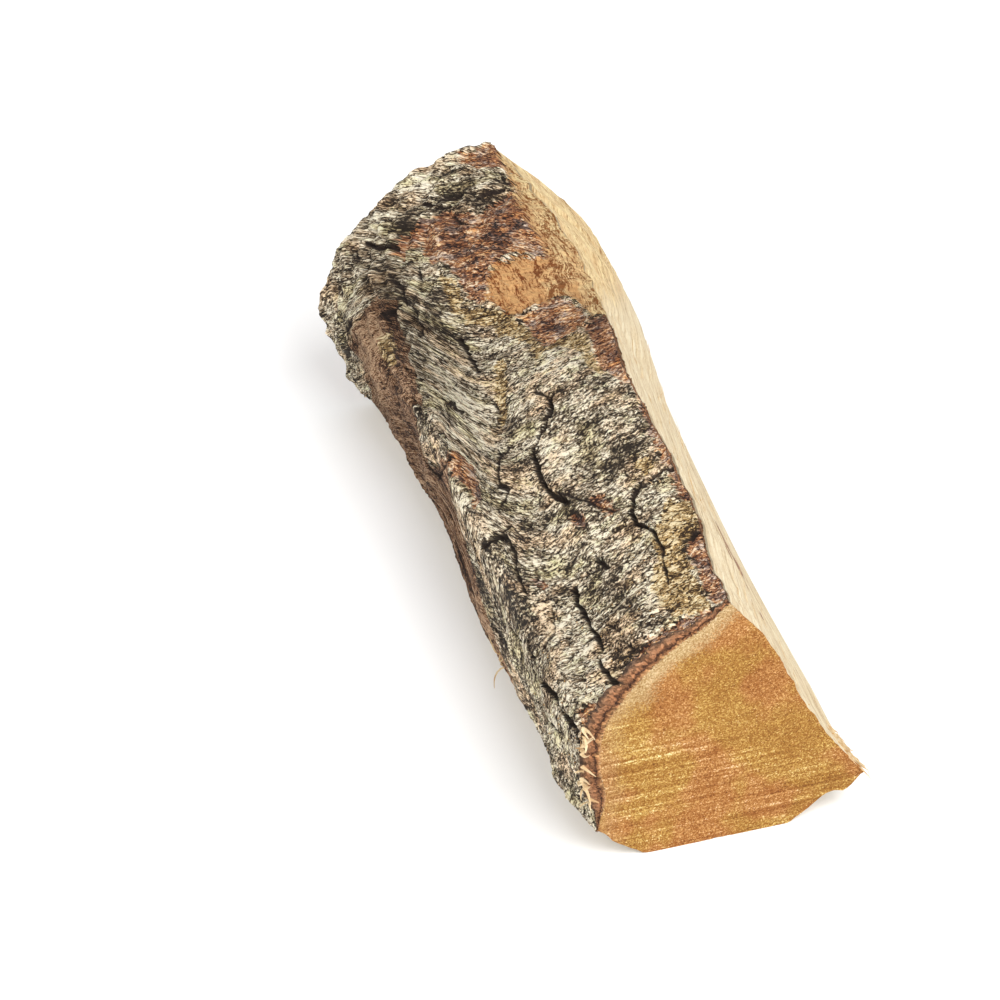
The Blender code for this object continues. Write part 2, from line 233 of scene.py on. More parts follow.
PALE = (
    (-36, 134, 11, 10, 0.85), (-107, 148, 8, 10, 0.9), (-92, 122.5, 9, 7, 0.75), (-97, 132, 7, 6, 0.6),
    (4, 130, 16, 16, 0.6), (142, 136, 7, 8, 0.8), (108, 141.3, 10, 4, 0.85), (105, 166, 8, 20, 0.95),
    (29, 160.5, 9, 5, 0.8), (26, 150, 26, 10, 0.6), (135, 146.3, 7, 4, 0.85), (-130, 152, 18, 7, 0.5),
    (-50, 143, 13, 7, 0.5), (95, 145.3, 15, 2.5, 0.85), (-15, 139, 14, 6, 0.5), (-118, 146.5, 10, 4, 0.6),
    (62, 147.5, 16, 3, 0.6), (-132, 166, 16, 10, 0.5), (-128, 149, 20, 12, 0.75), (-132, 131, 12, 7, 0.55),
    (8, 150, 22, 14, 0.75), (44, 150, 16, 10, 0.55), (-20, 148, 16, 7, 0.5), (-98, 168, 8, 12, 0.6),
    (140, 162, 8, 10, 0.5), (14, 149, 24, 12, 0.8), (36, 149, 20, 9, 0.8),
)

# Where the bare wood of the knob reaches down the split face, from the crest
KNOB_WOOD = ((0.000, -0.004), (0.022, 0.000), (0.045, 0.014), (0.075, 0.040), (0.110, 0.065), (0.150, 0.090))
SAWN_DEPTH = 0.0005
END_CHIPS = 0.0009
RIM_ROUGHNESS = 0.00024
RIM_WIDTH = 0.007
SHARP_DEGREES = 42.0
PLAIN = (1.0, 1.0, 1.0, 1.0)

# Rusty flecks of the split face: millimetres along Y and from the crest, half length and half width
FLECKS = (
    (-19.5, -92.0, 5.0, 1.6), (-29.0, -91.0, 6.0, 1.8), (-41.0, -93.0, 7.0, 1.8), (-37.0, -88.0, 3.5, 1.2),
    (-55.0, -91.0, 4.0, 1.2), (-76.0, -88.0, 3.0, 1.1), (24.0, -92.0, 3.0, 1.1),
)

# Loose fibres on the bark: millimetres along Y, degrees, count, length and half width in millimetres, and how
# far they head out from the bark and along Y
TUFTS = (
    (-151.6, 159.0, 14, 6.0, 1.0, -0.8, -0.06), (-151.6, 167.5, 12, 7.0, 1.05, -0.7, -0.06),
    (-149.5, 172.0, 4, 6.0, 0.6, 0.5, -0.5), (-54.0, 180.0, 4, 13.0, 0.6, 1.0, 0.0),
    (106.0, 136.5, 1, 11.0, 0.5, 0.05, 0.95), (-84.0, 121.0, 2, 6.0, 0.2, 0.5, 0.5),
    (60.0, 131.0, 3, 7.0, 0.22, 0.6, 0.4),
)

# The camera, with its target in metres
CAMERA_TARGET = (-0.0358, 0.0, 0.053)
CAMERA_DISTANCE = 1.25
CAMERA_AZIMUTH = -17.0
CAMERA_ELEVATION = 37.0
CAMERA_LENS = 117.0
SENSOR_WIDTH = 36.0

# The floor's half width, and the lights' sizes and places in metres
FLOOR_REACH = 4.0
KEY_SIZE = 1.2
KEY_PLACE = (0.35, -1.05, 1.50)
FILL_SIZE = 1.4
FILL_PLACE = (-1.20, -0.60, 1.0)
LIGHT_TARGET = (0.0, 0.0, 0.05)

# Mesh steps
BARK_ROWS = 427
BARK_COLUMNS = 196
ROWS_SKIPPED = 6
COLUMNS_SKIPPED = 5
RIM_LAYERS = 8
WOOD_ROWS = 214
SPLIT_STEPS = 96
UNDER_BARK_STEPS = 60
FACET_STEPS = 8
UNDER_STEPS = 52
CAP_RINGS = 26
SPLINTER_STEPS = (0.0, 0.25, 0.5, 0.75, 1.0)
CORNER_SPLINTERS = 26
TUFT_STEPS = 7
RIM_SEED = 3
SPLINTER_SEED = 7
SAWDUST_SEED = 11


def curve(points, place):
    """Read a smooth curve through (place, value) points, level beyond its ends."""
    knots = np.array([point[0] for point in points])
    values = np.array([point[1] for point in points])
    slopes = np.gradient(values, knots)
    place = np.clip(place, knots[0], knots[-1])
    left = np.clip(np.searchsorted(knots, place, side="right") - 1, 0, len(knots) - 2)
    width = knots[left + 1] - knots[left]
    part = (place - knots[left]) / width
    blend = part * part * (3.0 - 2.0 * part)
    level = values[left] * (1.0 - blend) + values[left + 1] * blend
    start_slope = part * (1.0 - part) ** 2 * slopes[left]
    end_slope = part**2 * (part - 1.0) * slopes[left + 1]
    return level + width * (start_slope + end_slope)


def ease(low, high, value):
    """Go smoothly from 0 at low to 1 at high."""
    part = np.clip((value - low) / (high - low), 0.0, 1.0)
    return part * part * (3.0 - 2.0 * part)


def noise(along, across, seed):
    """Smooth noise from -1 to 1 that has about one swing for each unit along and across."""
    table = np.random.default_rng(seed).random((64, 64)) * 2.0 - 1.0
    column = np.floor(along).astype(int)
    row = np.floor(across).astype(int)
    along_part = ease(0.0, 1.0, along - column)
    across_part = ease(0.0, 1.0, across - row)
    near = table[column % 64, row % 64] * (1 - along_part)
    near = near + table[(column + 1) % 64, row % 64] * along_part
    far = table[column % 64, (row + 1) % 64] * (1 - along_part)
    far = far + table[(column + 1) % 64, (row + 1) % 64] * along_part
    return near * (1 - across_part) + far * across_part


def turned(along, across, seed):
    """Noise on axes turned by 35 degrees, so that its squares don't show."""
    return noise(0.82 * along + 0.57 * across, 0.82 * across - 0.57 * along, seed)


def arc_of(angle):
    """Distance along the bark for an angle about the pith edge."""
    return BARK_SCALE * np.radians(angle)


def line_distance(points, y, arc):
    """Distance along the bark from each place to a broken line of (millimetres, degrees) points."""
    nearest = np.full(np.broadcast(y, arc).shape, LOG_LENGTH)
    for first, second in zip(points[:-1], points[1:]):
        start = arc_of(first[1])
        start_y = first[0] * MM
        step_y = (second[0] - first[0]) * MM
        step_arc = arc_of(second[1]) - start
        run = (y - start_y) * step_y + (arc - start) * step_arc
        part = np.clip(run / (step_y**2 + step_arc**2), 0.0, 1.0)
        gap = np.hypot(y - start_y - part * step_y, arc - start - part * step_arc)
        nearest = np.minimum(nearest, gap)
    return nearest


def crumbled(y, arc, seed):
    """Millimetres by which the border of a patch wanders."""
    ragged = 1.2 * turned(y / 0.0078, arc / 0.0062, seed) + 0.9 * turned(y / 0.0026, arc / 0.0023, seed + 1)
    return ragged + 0.5 * noise(y / 0.0012, arc / 0.0012, seed + 2)


def spot_depth(spots, y, arc, seed):
    """How many millimetres each place lies inside round spots. It is negative outside."""
    depth = np.full(np.broadcast(y, arc).shape, -PATCH_REACH)
    for place_y, angle, half_length, half_width, strength in spots:
        reach = np.hypot((y - place_y * MM) / (half_length * MM), (arc - arc_of(angle)) / (half_width * MM))
        inside = (1.0 - reach) * min(half_length, half_width) - PATCH_REACH * (1.0 - strength)
        depth = np.maximum(depth, inside)
    return np.clip(depth + 2.0 * crumbled(y, arc, seed), -PATCH_REACH, PATCH_REACH)


def is_inside(outline, y, arc):
    """Whether each place lies inside a closed outline, by counting the sides that it sees one way."""
    inside = np.zeros(np.broadcast(y, arc).shape, dtype=bool)
    for first, second in zip(outline, outline[1:] + outline[:1]):
        start, end = arc_of(first[1]), arc_of(second[1])
        if start == end:
            continue
        crossing = first[0] + (second[0] - first[0]) * (arc - start) / (end - start)
        between = (arc >= min(start, end)) & (arc < max(start, end))
        inside ^= between & (y < crossing * MM)
    return inside


def outline_depth(patches, y, arc, seed):
    """How many millimetres each place lies inside outlined patches, with crumbled borders."""
    depth = np.full(np.broadcast(y, arc).shape, -PATCH_REACH)
    for strength, outline in patches:
        away = line_distance(outline + outline[:1], y, arc) / MM
        inside = np.where(is_inside(outline, y, arc), np.minimum(away, 0.6 * PATCH_REACH), -away)
        depth = np.maximum(depth, inside - PATCH_REACH * (1.0 - strength))
    return np.clip(depth + crumbled(y, arc, seed), -PATCH_REACH, PATCH_REACH)


def flow_along(y, arc):
    """A length that the wrinkles of the bark follow: level lines of it run along them."""
    across = arc - arc_of(SWIRL_ANGLE)
    left_side = 0.5 * (across + np.hypot(across, 0.006))
    slope = LEFT_SLOPE + SWIRL_SLOPE * ease(-0.110, 0.020, y) * (1.0 - ease(0.095, 0.135, y))
    lean = KNOB_LEAN * ease(-0.010, 0.050, y)
    wobble = 0.0016 * turned(y / 0.030, arc / 0.022, 41)
    return y - lean * across - slope * left_side * (1.0 - 0.5 * ease(0.02, 0.05, left_side)) + wobble


def fissure_relief(y, arc):
    """Depth of the fissures, and how many millimetres each place lies inside one. It is negative outside."""
    wander = 1.3 * turned(y / 0.0052, arc / 0.0047, 51) + 0.7 * noise(y / 0.0021, arc / 0.0021, 52)
    bend_y = y + 0.45 * MM * (wander + turned(y / 0.0031, arc / 0.0029, 53))
    bend_arc = arc + 0.45 * MM * (wander - turned(y / 0.0031, arc / 0.0029, 54))
    height = np.zeros_like(arc + y)
    inside = np.full_like(height, -PATCH_REACH)
    for depth, half_width, points in FISSURES:
        within = half_width * (1.0 + 0.25 * wander) - line_distance(points, bend_y, bend_arc) / MM
        height = np.minimum(height, -CRACK_SHARE * depth * MM * ease(-0.15, 0.85, within))
        height = np.maximum(height, LIP_HEIGHT * np.exp(-(((within + 1.8) / 0.9) ** 2)) + height)
        inside = np.maximum(inside, within)
    for points in HAIR_CRACKS:
        within = HAIR_WIDTH * (1.0 + 0.6 * wander) - line_distance(points, bend_y, bend_arc) / MM
        height = np.minimum(height, -HAIR_DEPTH * MM * ease(-0.45, 0.45, within))
        inside = np.maximum(inside, within)
    return height, inside


def knob_relief(y, arc):
    """Height of the swellings and hollows of the knob, and of the folds that ring it on its low side."""
    height = np.zeros_like(arc + y)
    for lump_y, lump_angle, lump_height, spread in LUMPS:
        reach = np.hypot(y - lump_y * MM, arc - arc_of(lump_angle))
        height = height + lump_height * MM * np.exp(-((reach / (spread * MM)) ** 2))
    across = arc - arc_of(KNOB_ANGLE)
    reach = np.hypot(y - KNOB_Y, across)
    folded = ease(0.026, 0.040, reach) * (1.0 - ease(0.060, 0.095, reach)) * ease(-0.010, 0.020, across)
    bend = turned(y / 0.010, arc / 0.010, 5)
    return height + 0.6 * folded * FOLD_HEIGHT * np.sin(2.0 * math.pi * reach / FOLD_PITCH + 2.0 * bend)


def bark_masks(y, angle):
    """How many millimetres each place lies inside the bare, torn, flaked, smooth, dark and pale patches."""
    arc = arc_of(angle)
    masks = {}
    outlined = (("bare", BARE), ("inner", INNER), ("ochre", OCHRE), ("smooth", SMOOTH))
    for index, (name, outlines) in enumerate(outlined):
        masks[name] = outline_depth(outlines, y, arc, 101 + 10 * index)
    masks["dark"] = spot_depth(DARK, y, arc, 141)
    masks["pale"] = spot_depth(PALE, y, arc, 151)
    return masks


def cover(depth, soft=0.6):
    """How much of each place a patch covers, from 0 to 1, with its border so many millimetres soft."""
    return ease(-soft, soft, depth)


def fine_relief(y, arc, masks):
    """Height of the wrinkles and crumbs that the solid leaves out."""
    flow = flow_along(y, arc)
    angle = np.degrees(arc / BARK_SCALE)
    swirl = ease(-0.030, -0.005, y) * (1.0 - ease(0.060, 0.085, y)) * ease(138.0, 143.0, angle)
    bare = cover(masks["bare"])
    inner = cover(masks["inner"]) * (1.0 - bare)
    smooth = cover(masks["smooth"], 3.0)
    knob = np.maximum(ease(0.060, 0.085, y), 0.5 * (1.0 - ease(-0.115, -0.085, y))) * (1.0 - 0.8 * bare)
    wrinkles = 0.20 * turned(flow / 0.0021, arc / 0.0085, 61) + 0.22 * noise(flow / 0.0044, arc / 0.0150, 62)
    crumbs = 0.24 * noise(y / 0.0013, arc / 0.0013, 63) + 0.18 * turned(y / 0.0030, arc / 0.0032, 64)
    folds = 1.0 - 2.2 * np.abs(turned(flow / 0.0040, arc / 0.0220, 65))
    lumpy = 1.0 - 2.4 * np.abs(turned(y / 0.0052, arc / 0.0060, 66))
    height = wrinkles + crumbs + 0.80 * swirl * folds + knob * (0.75 * lumpy + 0.9 * crumbs)
    calm = 1.0 - 0.80 * np.maximum(bare, 0.5 * smooth) - 0.30 * inner
    fibres = 0.20 * noise(y / 0.0090, arc / 0.0021, 67) + 0.16 * turned(y / 0.0024, arc / 0.0022, 68)
    fibrous = np.maximum(np.maximum(bare, inner), 0.5 * smooth)
    steps = -1.3 * inner - 2.2 * bare - 0.6 * cover(masks["ochre"]) - 0.5 * smooth
    detail = height * np.clip(calm, 0.1, 1.0) + fibrous * fibres
    # This height also tints the bark's colour: painted shade in the hollows and painted light on the ridges.
    masks["height"] = np.clip(detail, -1.5, 1.5)
    return MM * (detail + steps)


def trunk_radius(part, y):
    """Radius of the plain trunk over its bark, with part 0 at the crest and 1 at the foot."""
    fall = curve(CREST_FALL, y) * (1.0 - part) ** 3
    foot = curve(FOOT_FALL, y) * ease(curve(FOOT_START, y), 1.0, part)
    return curve(TRUNK_RADIUS, y) * (1.0 - fall - foot)


def bark_angle(part, y):
    """Angle about the pith edge, with part 0 at the crest and 1 at the foot."""
    ragged = noise(y / 0.0060, 0.0 * y, 81) + 0.5 * noise(y / 0.0029, 0.0 * y, 82)
    crest = curve(CREST_ANGLE, y) + CREST_RAG * ragged
    return crest + part * (FOOT_ANGLE - crest)


def thickness(part, y):
    """Thickness of the bark."""
    crest = curve(CREST_THICKNESS, y)
    full = crest + (BARK_THICKNESS - crest) * ease(0.0, 0.12, part)
    return full * (1.0 - 0.75 * ease(0.82, 1.0, part))


def polar(radius, angle, y):
    """X and Z of a point at a radius and angle about the pith edge."""
    x = curve(PITH_X, y) + radius * np.cos(np.radians(angle)) - MIDDLE_X
    return x, PITH_HEIGHT + radius * np.sin(np.radians(angle))


def coarse_relief(y, arc):
    """The plates that the solid has, with its crumbs lower than there except on the knob."""
    plates = PLATE_HEIGHT * noise(y / 0.024, arc / 0.016, 3)
    crumbs = CRUMB_HEIGHT * noise(y / 0.0085, arc / 0.0075, 4) * (0.4 + 1.5 * ease(0.055, 0.110, y))
    return plates + crumbs


def bark_surface(part, y):
    """X and Z of the bark, with its masks."""
    angle = bark_angle(part, y)
    arc = arc_of(angle)
    masks = bark_masks(y, angle)
    cracks, inside = fissure_relief(y, arc)
    bare = cover(masks["bare"])
    # Where this crack mask is positive the bark is painted near black, as painted shade in the fissures.
    masks["crack"] = inside - 3.0 * bare
    across = arc - arc_of(bark_angle(0.0, y))
    quiet = 1.0 - ease(0.3, 0.9, bare) * (1.0 - ease(0.003, 0.020, across))
    relief = quiet * (coarse_relief(y, arc) + knob_relief(y, arc)) + (1.0 - bare) * cracks
    relief = relief + fine_relief(y, arc, masks)
    relief = relief - BARE_ROUNDING * bare * (1.0 - ease(0.0, 0.010, across))
    relief = np.maximum(relief, LEAST_THICKNESS - thickness(part, y))
    masks["across"] = across
    masks["flow"] = flow_along(y, arc)
    x, z = polar(trunk_radius(part, y) + relief, angle, y)
    return x, z, masks


def wood_share(y):
    """How far up the split face the wood reaches, where 1 is the bark's own edge."""
    radius = trunk_radius(np.zeros_like(y), y)
    return (radius - curve(CREST_THICKNESS, y)) / radius


def split_point(part, y):
    """A point of the upper split face, with part 0 at the pith edge and 1 at the bark's edge."""
    pith_x = curve(PITH_X, y) - MIDDLE_X
    crest_x, crest_z = polar(trunk_radius(np.zeros_like(y), y), bark_angle(np.zeros_like(y), y), y)
    run_x = crest_x - pith_x
    run_z = crest_z - PITH_HEIGHT
    length = np.hypot(run_x, run_z)
    arch = np.abs(np.sin(math.pi * part))
    swell = curve(SPLIT_BULGE, y) * arch**BULGE_SHARPNESS
    swell = swell - curve(SPLIT_TWIST, y) * np.sin(2.0 * math.pi * part)
    grain = noise(y / 0.090, part * 3.5, 12) + 0.6 * noise(y / 0.060, part * 9.0, 11)
    fibres = 0.30 * noise(y / 0.055, part * 62.0, 71) + 0.34 * noise(y / 0.030, part * 26.0, 72)
    height = swell + (GRAIN_HEIGHT * grain + 0.8 * MM * fibres) * np.sqrt(arch)
    x = pith_x + run_x * part + height * run_z / length
    return x, PITH_HEIGHT + run_z * part - height * run_x / length


def under_bark_point(part, y):
    """A point of the wood under the bark."""
    radius = trunk_radius(part, y) - thickness(part, y)
    return polar(radius, bark_angle(part, y), y)


def under_point(part, y):
    """A point of the underside, with part 0 at the foot facet and 1 at the pith edge."""
    foot_x, _ = polar(trunk_radius(np.ones_like(y), y), FOOT_ANGLE, y)
    start_x = foot_x + FOOT_REACH
    pith_x = curve(PITH_X, y) - MIDDLE_X
    x = start_x + (pith_x - start_x) * part
    tears = noise(y / 0.050, part * 7.0, 21) + 0.6 * noise(y / 0.025, part * 11.0, 22)
    tears = tears + 0.3 * noise(y / 0.030, part * 55.0, 23)
    tears = FLAT_RELIEF * tears * (1.0 - ease(0.9, 1.0, part))
    rise = PITH_HEIGHT * (0.58 * ease(0.62, 0.86, part) + 0.42 * ease(0.90, 1.0, part))
    return x, np.maximum(0.0, tears + rise - FLAT_SINK * (1.0 - ease(0.9, 1.0, part)))


def facet_point(part, y):
    """A point of the torn facet, with part 0 at the bark's foot and 1 at the underside."""
    foot_x, foot_z = under_bark_point(np.ones_like(y), y)
    under_x, under_z = under_point(np.zeros_like(y), y)
    dent = 1.0 * MM * (noise(y / 0.030, part * 2.0, 31) + 0.5 * noise(y / 0.040, part * 7.0, 32))
    dent = dent * np.sin(math.pi * part)
    return foot_x + (under_x - foot_x) * part + dent, foot_z + (under_z - foot_z) * part + 0.5 * dent


def write_vectors(mesh, name, columns):
    """Store three values a vertex under one name."""
    attribute = mesh.attributes.new(name, "FLOAT_VECTOR", "POINT")
    attribute.data.foreach_set("vector", np.stack(columns, axis=-1).astype(np.float32).ravel())


def new_object(name, vertices, faces, materials, indices):
    """Make an object from points and faces, with a material for each face."""
    mesh = bpy.data.meshes.new(name)
    mesh.from_pydata(vertices.tolist(), [], faces)
    for material in materials:
        mesh.materials.append(material)
    mesh.polygons.foreach_set("material_index", np.asarray(indices, dtype=np.int32))
    mesh.polygons.foreach_set("use_smooth", np.ones(len(faces), dtype=bool))
    mesh.validate()
    item = bpy.data.objects.new(name, mesh)
    bpy.context.scene.collection.objects.link(item)
    return item


def grid_quads(rows, columns):
    """Quads over a grid of vertices, row after row, facing out of the log."""
    index = np.arange(rows * columns).reshape(rows, columns)
    quads = np.stack([index[:-1, :-1], index[1:, :-1], index[1:, 1:], index[:-1, 1:]], axis=-1)
    return quads.reshape(-1, 4)


def perimeter(rows, columns):
    """Grid places round the border: near end, foot, far end, crest."""
    near = [(0, column) for column in range(columns - 1)]
    foot = [(row, columns - 1) for row in range(rows - 1)]
    far = [(rows - 1, column) for column in range(columns - 1, 0, -1)]
    crest = [(row, 0) for row in range(rows - 1, 0, -1)]
    return near + foot + far + crest


def bark_attributes(mesh, masks, depth):
    """Store what the bark's materials read, a value for each vertex."""
    write_vectors(mesh, "coat", (masks["bare"], masks["inner"], masks["ochre"]))
    write_vectors(mesh, "tone", (masks["smooth"], masks["dark"], masks["pale"]))
    write_vectors(mesh, "crack_rim_height", (masks["crack"], depth, masks["height"]))
    write_vectors(mesh, "place", (masks["flow"], masks["arc"], depth * RIM_WIDTH))
    write_vectors(mesh, "grain", (masks["y"], masks["across"], depth * RIM_WIDTH))


def border_is_sharp(mesh, border):
    """Mark the edges that run along the border vertices as sharp."""
    ends = np.empty(2 * len(mesh.edges), dtype=np.int32)
    mesh.edges.foreach_get("vertices", ends)
    sharp = border[ends.reshape(-1, 2)].all(axis=1)
    attribute = mesh.attributes.new("sharp_edge", "BOOLEAN", "EDGE")
    attribute.data.foreach_set("value", sharp)


def inner_faces(ids):
    """Wide faces of the bark's hidden inside, which meet every vertex of its rim."""
    faces = []
    for row in range(0, BARK_ROWS - 1, ROWS_SKIPPED):
        for column in range(0, BARK_COLUMNS - 1, COLUMNS_SKIPPED):
            next_row = row + ROWS_SKIPPED
            next_column = column + COLUMNS_SKIPPED
            walk = [(row, place) for place in range(column, next_column)]
            walk += [(place, next_column) for place in range(row, next_row)]
            walk += [(next_row, place) for place in range(next_column, column, -1)]
            walk += [(place, column) for place in range(next_row, row, -1)]
            faces.append([ids[place] for place in walk if place in ids])
    return faces


def chipped(x, y, z):
    """Y of the bark's surface, drawn back at both ends where crumbs have broken off."""
    chips = turned(x / 0.0042, z / 0.0042, 161) + 0.7 * noise(x / 0.0016, z / 0.0016, 162) + 0.3
    from_end = LOG_LENGTH / 2 - np.abs(y)
    return y - np.sign(y) * END_CHIPS * np.clip(chips, 0.0, 2.0) * (1.0 - ease(0.0, 0.004, from_end))


def bark_grids():
    """The bark's outer and inner points, with the masks of the outer ones."""
    y = np.linspace(-LOG_LENGTH / 2, LOG_LENGTH / 2, BARK_ROWS)[:, None]
    part = np.linspace(0.0, 1.0, BARK_COLUMNS)[None, :]
    x, z, masks = bark_surface(part, y)
    radius = trunk_radius(part, y) - thickness(part, y) - BARK_OVERLAP
    inner_x, inner_z = polar(radius, bark_angle(part, y), y)
    outer = np.stack(np.broadcast_arrays(x, chipped(x, y, z), z), axis=-1)
    inner = np.stack(np.broadcast_arrays(inner_x, y, inner_z), axis=-1)
    masks["arc"] = arc_of(bark_angle(part, y))
    masks["y"] = y + 0.0 * part
    return outer, inner, masks


def rim_points(outer, inner, cover_share):
    """Points of the bark's rim in layers, from its surface to its inside, rough between the two."""
    rng = np.random.default_rng(RIM_SEED)
    layers = []
    for layer in range(1, RIM_LAYERS + 1):
        share = layer / RIM_LAYERS
        shift = rng.normal(size=outer.shape) * RIM_ROUGHNESS * (layer < RIM_LAYERS) * cover_share[:, None]
        layers.append(outer * (1 - share) + inner * share + shift)
    return layers


def rim_faces(rims):
    """Quads between the layers of the rim."""
    faces = []
    for above, below in zip(rims[:-1], rims[1:]):
        faces += np.stack([above, np.roll(above, -1), np.roll(below, -1), below], axis=-1).tolist()
    return faces


def build_bark():
    """The bark as a closed shell, thin over the bare wood of the knob."""
    outer, inner, masks = bark_grids()
    border = perimeter(BARK_ROWS, BARK_COLUMNS)
    rows = range(ROWS_SKIPPED, BARK_ROWS - 1, ROWS_SKIPPED)
    columns = range(COLUMNS_SKIPPED, BARK_COLUMNS - 1, COLUMNS_SKIPPED)
    hidden = [(row, column) for row in rows for column in columns]
    count = BARK_ROWS * BARK_COLUMNS
    rim = np.array(border) @ (BARK_COLUMNS, 1)
    deep = np.array(hidden) @ (BARK_COLUMNS, 1)
    rims = [rim] + [count + layer * len(rim) + np.arange(len(rim)) for layer in range(RIM_LAYERS)]
    ids = dict(zip(border + hidden, range(rims[-1][0], count + RIM_LAYERS * len(rim) + len(hidden))))
    outer, inner = outer.reshape(-1, 3), inner.reshape(-1, 3)
    layers = rim_points(outer[rim], inner[rim], cover(-masks["bare"]).ravel()[rim])
    depth = np.repeat((np.arange(RIM_LAYERS) + 1) / RIM_LAYERS, len(rim))
    depth = np.concatenate([np.zeros(count), depth, np.ones(len(deep))])
    source = np.concatenate([np.arange(count), np.tile(rim, RIM_LAYERS), deep])
    shape = (BARK_ROWS, BARK_COLUMNS)
    masks = {name: np.broadcast_to(mask, shape).ravel()[source] for name, mask in masks.items()}
    surface = grid_quads(BARK_ROWS, BARK_COLUMNS).tolist()
    edge = rim_faces(rims) + inner_faces(ids)
    kinds = [0] * len(surface) + [1] * len(edge)
    materials = (bark_material(), bark_edge_material())
    bark = new_object("bark", np.concatenate([outer, *layers, inner[deep]]), surface + edge, materials, kinds)
    bark_attributes(bark.data, masks, depth)
    sharp = np.zeros(len(bark.data.vertices), dtype=bool)
    sharp[rim] = masks["bare"][rim] < 0.0
    sharp[rims[-1]] = True
    border_is_sharp(bark.data, sharp)
    return bark


def wood_loops(places):
    """Loops of points round the wood at places along the log, with the strip and the share over it."""
    y = np.array(places)[:, None]
    strips = (
        (split_point, SPLIT_STEPS, wood_share(y)),
        (under_bark_point, UNDER_BARK_STEPS, 1.0),
        (facet_point, FACET_STEPS, 1.0),
        (under_point, UNDER_STEPS, 1.0),
    )
    points = []
    strip_of = []
    shares = []
    for number, (make_point, steps, reach) in enumerate(strips):
        part = np.linspace(0.0, 1.0, steps, endpoint=False)[None, :] * reach
        x, z = make_point(part, y)
        points.append(np.stack(np.broadcast_arrays(x, y, z), axis=-1))
        strip_of += [number] * steps
        shares.append(np.broadcast_to(part, points[-1].shape[:2]))
    return np.concatenate(points, axis=1), np.array(strip_of), np.concatenate(shares, axis=1)


def across_grain(shares, strips, reach):
    """Distance across the grain: back from the crest on the split face, further on for the other strips."""
    return np.where(strips == 0, (shares - 1.0) * reach, -0.2 - 0.12 * (strips + shares))


def wood_attributes(mesh, loops, strips, shares):
    """Store where each point of the wood lies along and across the grain, and where it is bare knob wood."""
    y = loops[:, :, 1]
    across = across_grain(shares, strips, trunk_radius(0.0, y))
    border = curve(KNOB_WOOD, y) + 0.004 * turned(y / 0.010, across / 0.008, 91)
    border = border + 0.0015 * noise(y / 0.0040, across / 0.0022, 92)
    bare = np.clip(0.4 * (across + border) / MM, -PATCH_REACH, PATCH_REACH)
    bare = np.where(strips == 0, bare, -PATCH_REACH)
    stain = np.full_like(y, -PATCH_REACH)
    for fleck_y, fleck_across, half_length, half_width in FLECKS:
        along_part = (y - fleck_y * MM) / half_length
        across_part = (across - fleck_across * MM) / half_width
        stain = np.maximum(stain, (1.0 - np.hypot(along_part, across_part) / MM) * half_width)
    zero = 0.0 * y
    write_vectors(mesh, "grain", [values.ravel() for values in (y, across, zero)])
    write_vectors(mesh, "coat", [values.ravel() for values in (bare, stain, zero)])


def build_wood():
    """The wood inside the bark, with its two split faces."""
    reach = LOG_LENGTH / 2 - SAWN_DEPTH
    loops, strips, shares = wood_loops(np.linspace(-reach, reach, WOOD_ROWS))
    rows, count = loops.shape[:2]
    index = np.arange(rows * count).reshape(rows, count)
    after = np.roll(index, -1, axis=1)
    quads = np.stack([index[:-1], index[1:], after[1:], after[:-1]], axis=-1).reshape(-1, 4)
    faces = quads.tolist() + [index[0].tolist(), index[-1][::-1].tolist()]
    wood = new_object("wood", loops.reshape(-1, 3), faces, (split_material(),), [0] * len(faces))
    wood_attributes(wood.data, loops, strips, shares)
    wood.data.set_sharp_from_angle(angle=math.radians(SHARP_DEGREES))
    return wood


def sawn_relief(x, z):
    """Height of the saw's marks on an end, in metres."""
    marks = 0.5 * noise(z / 0.0016, x / 0.060, 95) + 0.4 * noise(z / 0.0040, x / 0.090, 96)
    crumbs = 0.6 * turned(x / 0.0012, z / 0.0012, 97) + 0.5 * turned(x / 0.0030, z / 0.0030, 98)
    return 0.00022 * (marks + crumbs)


def sawn_attributes(mesh, points, strips, shares, side):
    """Store where each point of a sawn end lies round the pith, under the bark and across the grain."""
    end = side * LOG_LENGTH / 2
    run_x = points[:, 0] - curve(PITH_X, end) + MIDDLE_X
    run_z = points[:, 2] - PITH_HEIGHT
    radius = np.hypot(run_x, run_z)
    angle = np.degrees(np.arctan2(run_z, run_x)) % 360.0
    crest = curve(CREST_ANGLE, end)
    part = np.clip((angle - crest) / (FOOT_ANGLE - crest), 0.0, 1.0)
    ends = np.full_like(part, end)
    inside = trunk_radius(part, ends) - thickness(part, ends) - radius
    write_vectors(mesh, "ring", (radius, np.radians(angle) * BARK_SCALE, inside))
    across = across_grain(shares, strips, trunk_radius(0.0, end))
    bare = np.where((strips == 0) & (side > 0), PATCH_REACH, -PATCH_REACH)
    across = np.concatenate([np.tile(across, CAP_RINGS), [0.0], across])
    bare = np.concatenate([np.tile(bare, CAP_RINGS), [-PATCH_REACH], bare])
    write_vectors(mesh, "grain", (points[:, 1], across, 0.0 * across))
    write_vectors(mesh, "coat", (bare, 0.0 * bare - PATCH_REACH, 0.0 * bare))


def sawn_faces(count):
    """Faces of a sawn end in rings round its centre, and faces of its border and back."""
    index = np.arange(CAP_RINGS * count).reshape(CAP_RINGS, count)
    after = np.roll(index, -1, axis=1)
    centre = CAP_RINGS * count
    back = centre + 1 + np.arange(count)
    rings = np.stack([index[:-1], after[:-1], after[1:], index[1:]], axis=-1).reshape(-1, 4)
    fan = np.stack([index[-1], after[-1], np.full(count, centre)], axis=-1)
    border = np.stack([index[0], back, np.roll(back, -1), after[0]], axis=-1)
    return rings.tolist() + fan.tolist(), border.tolist() + [back[::-1].tolist()]


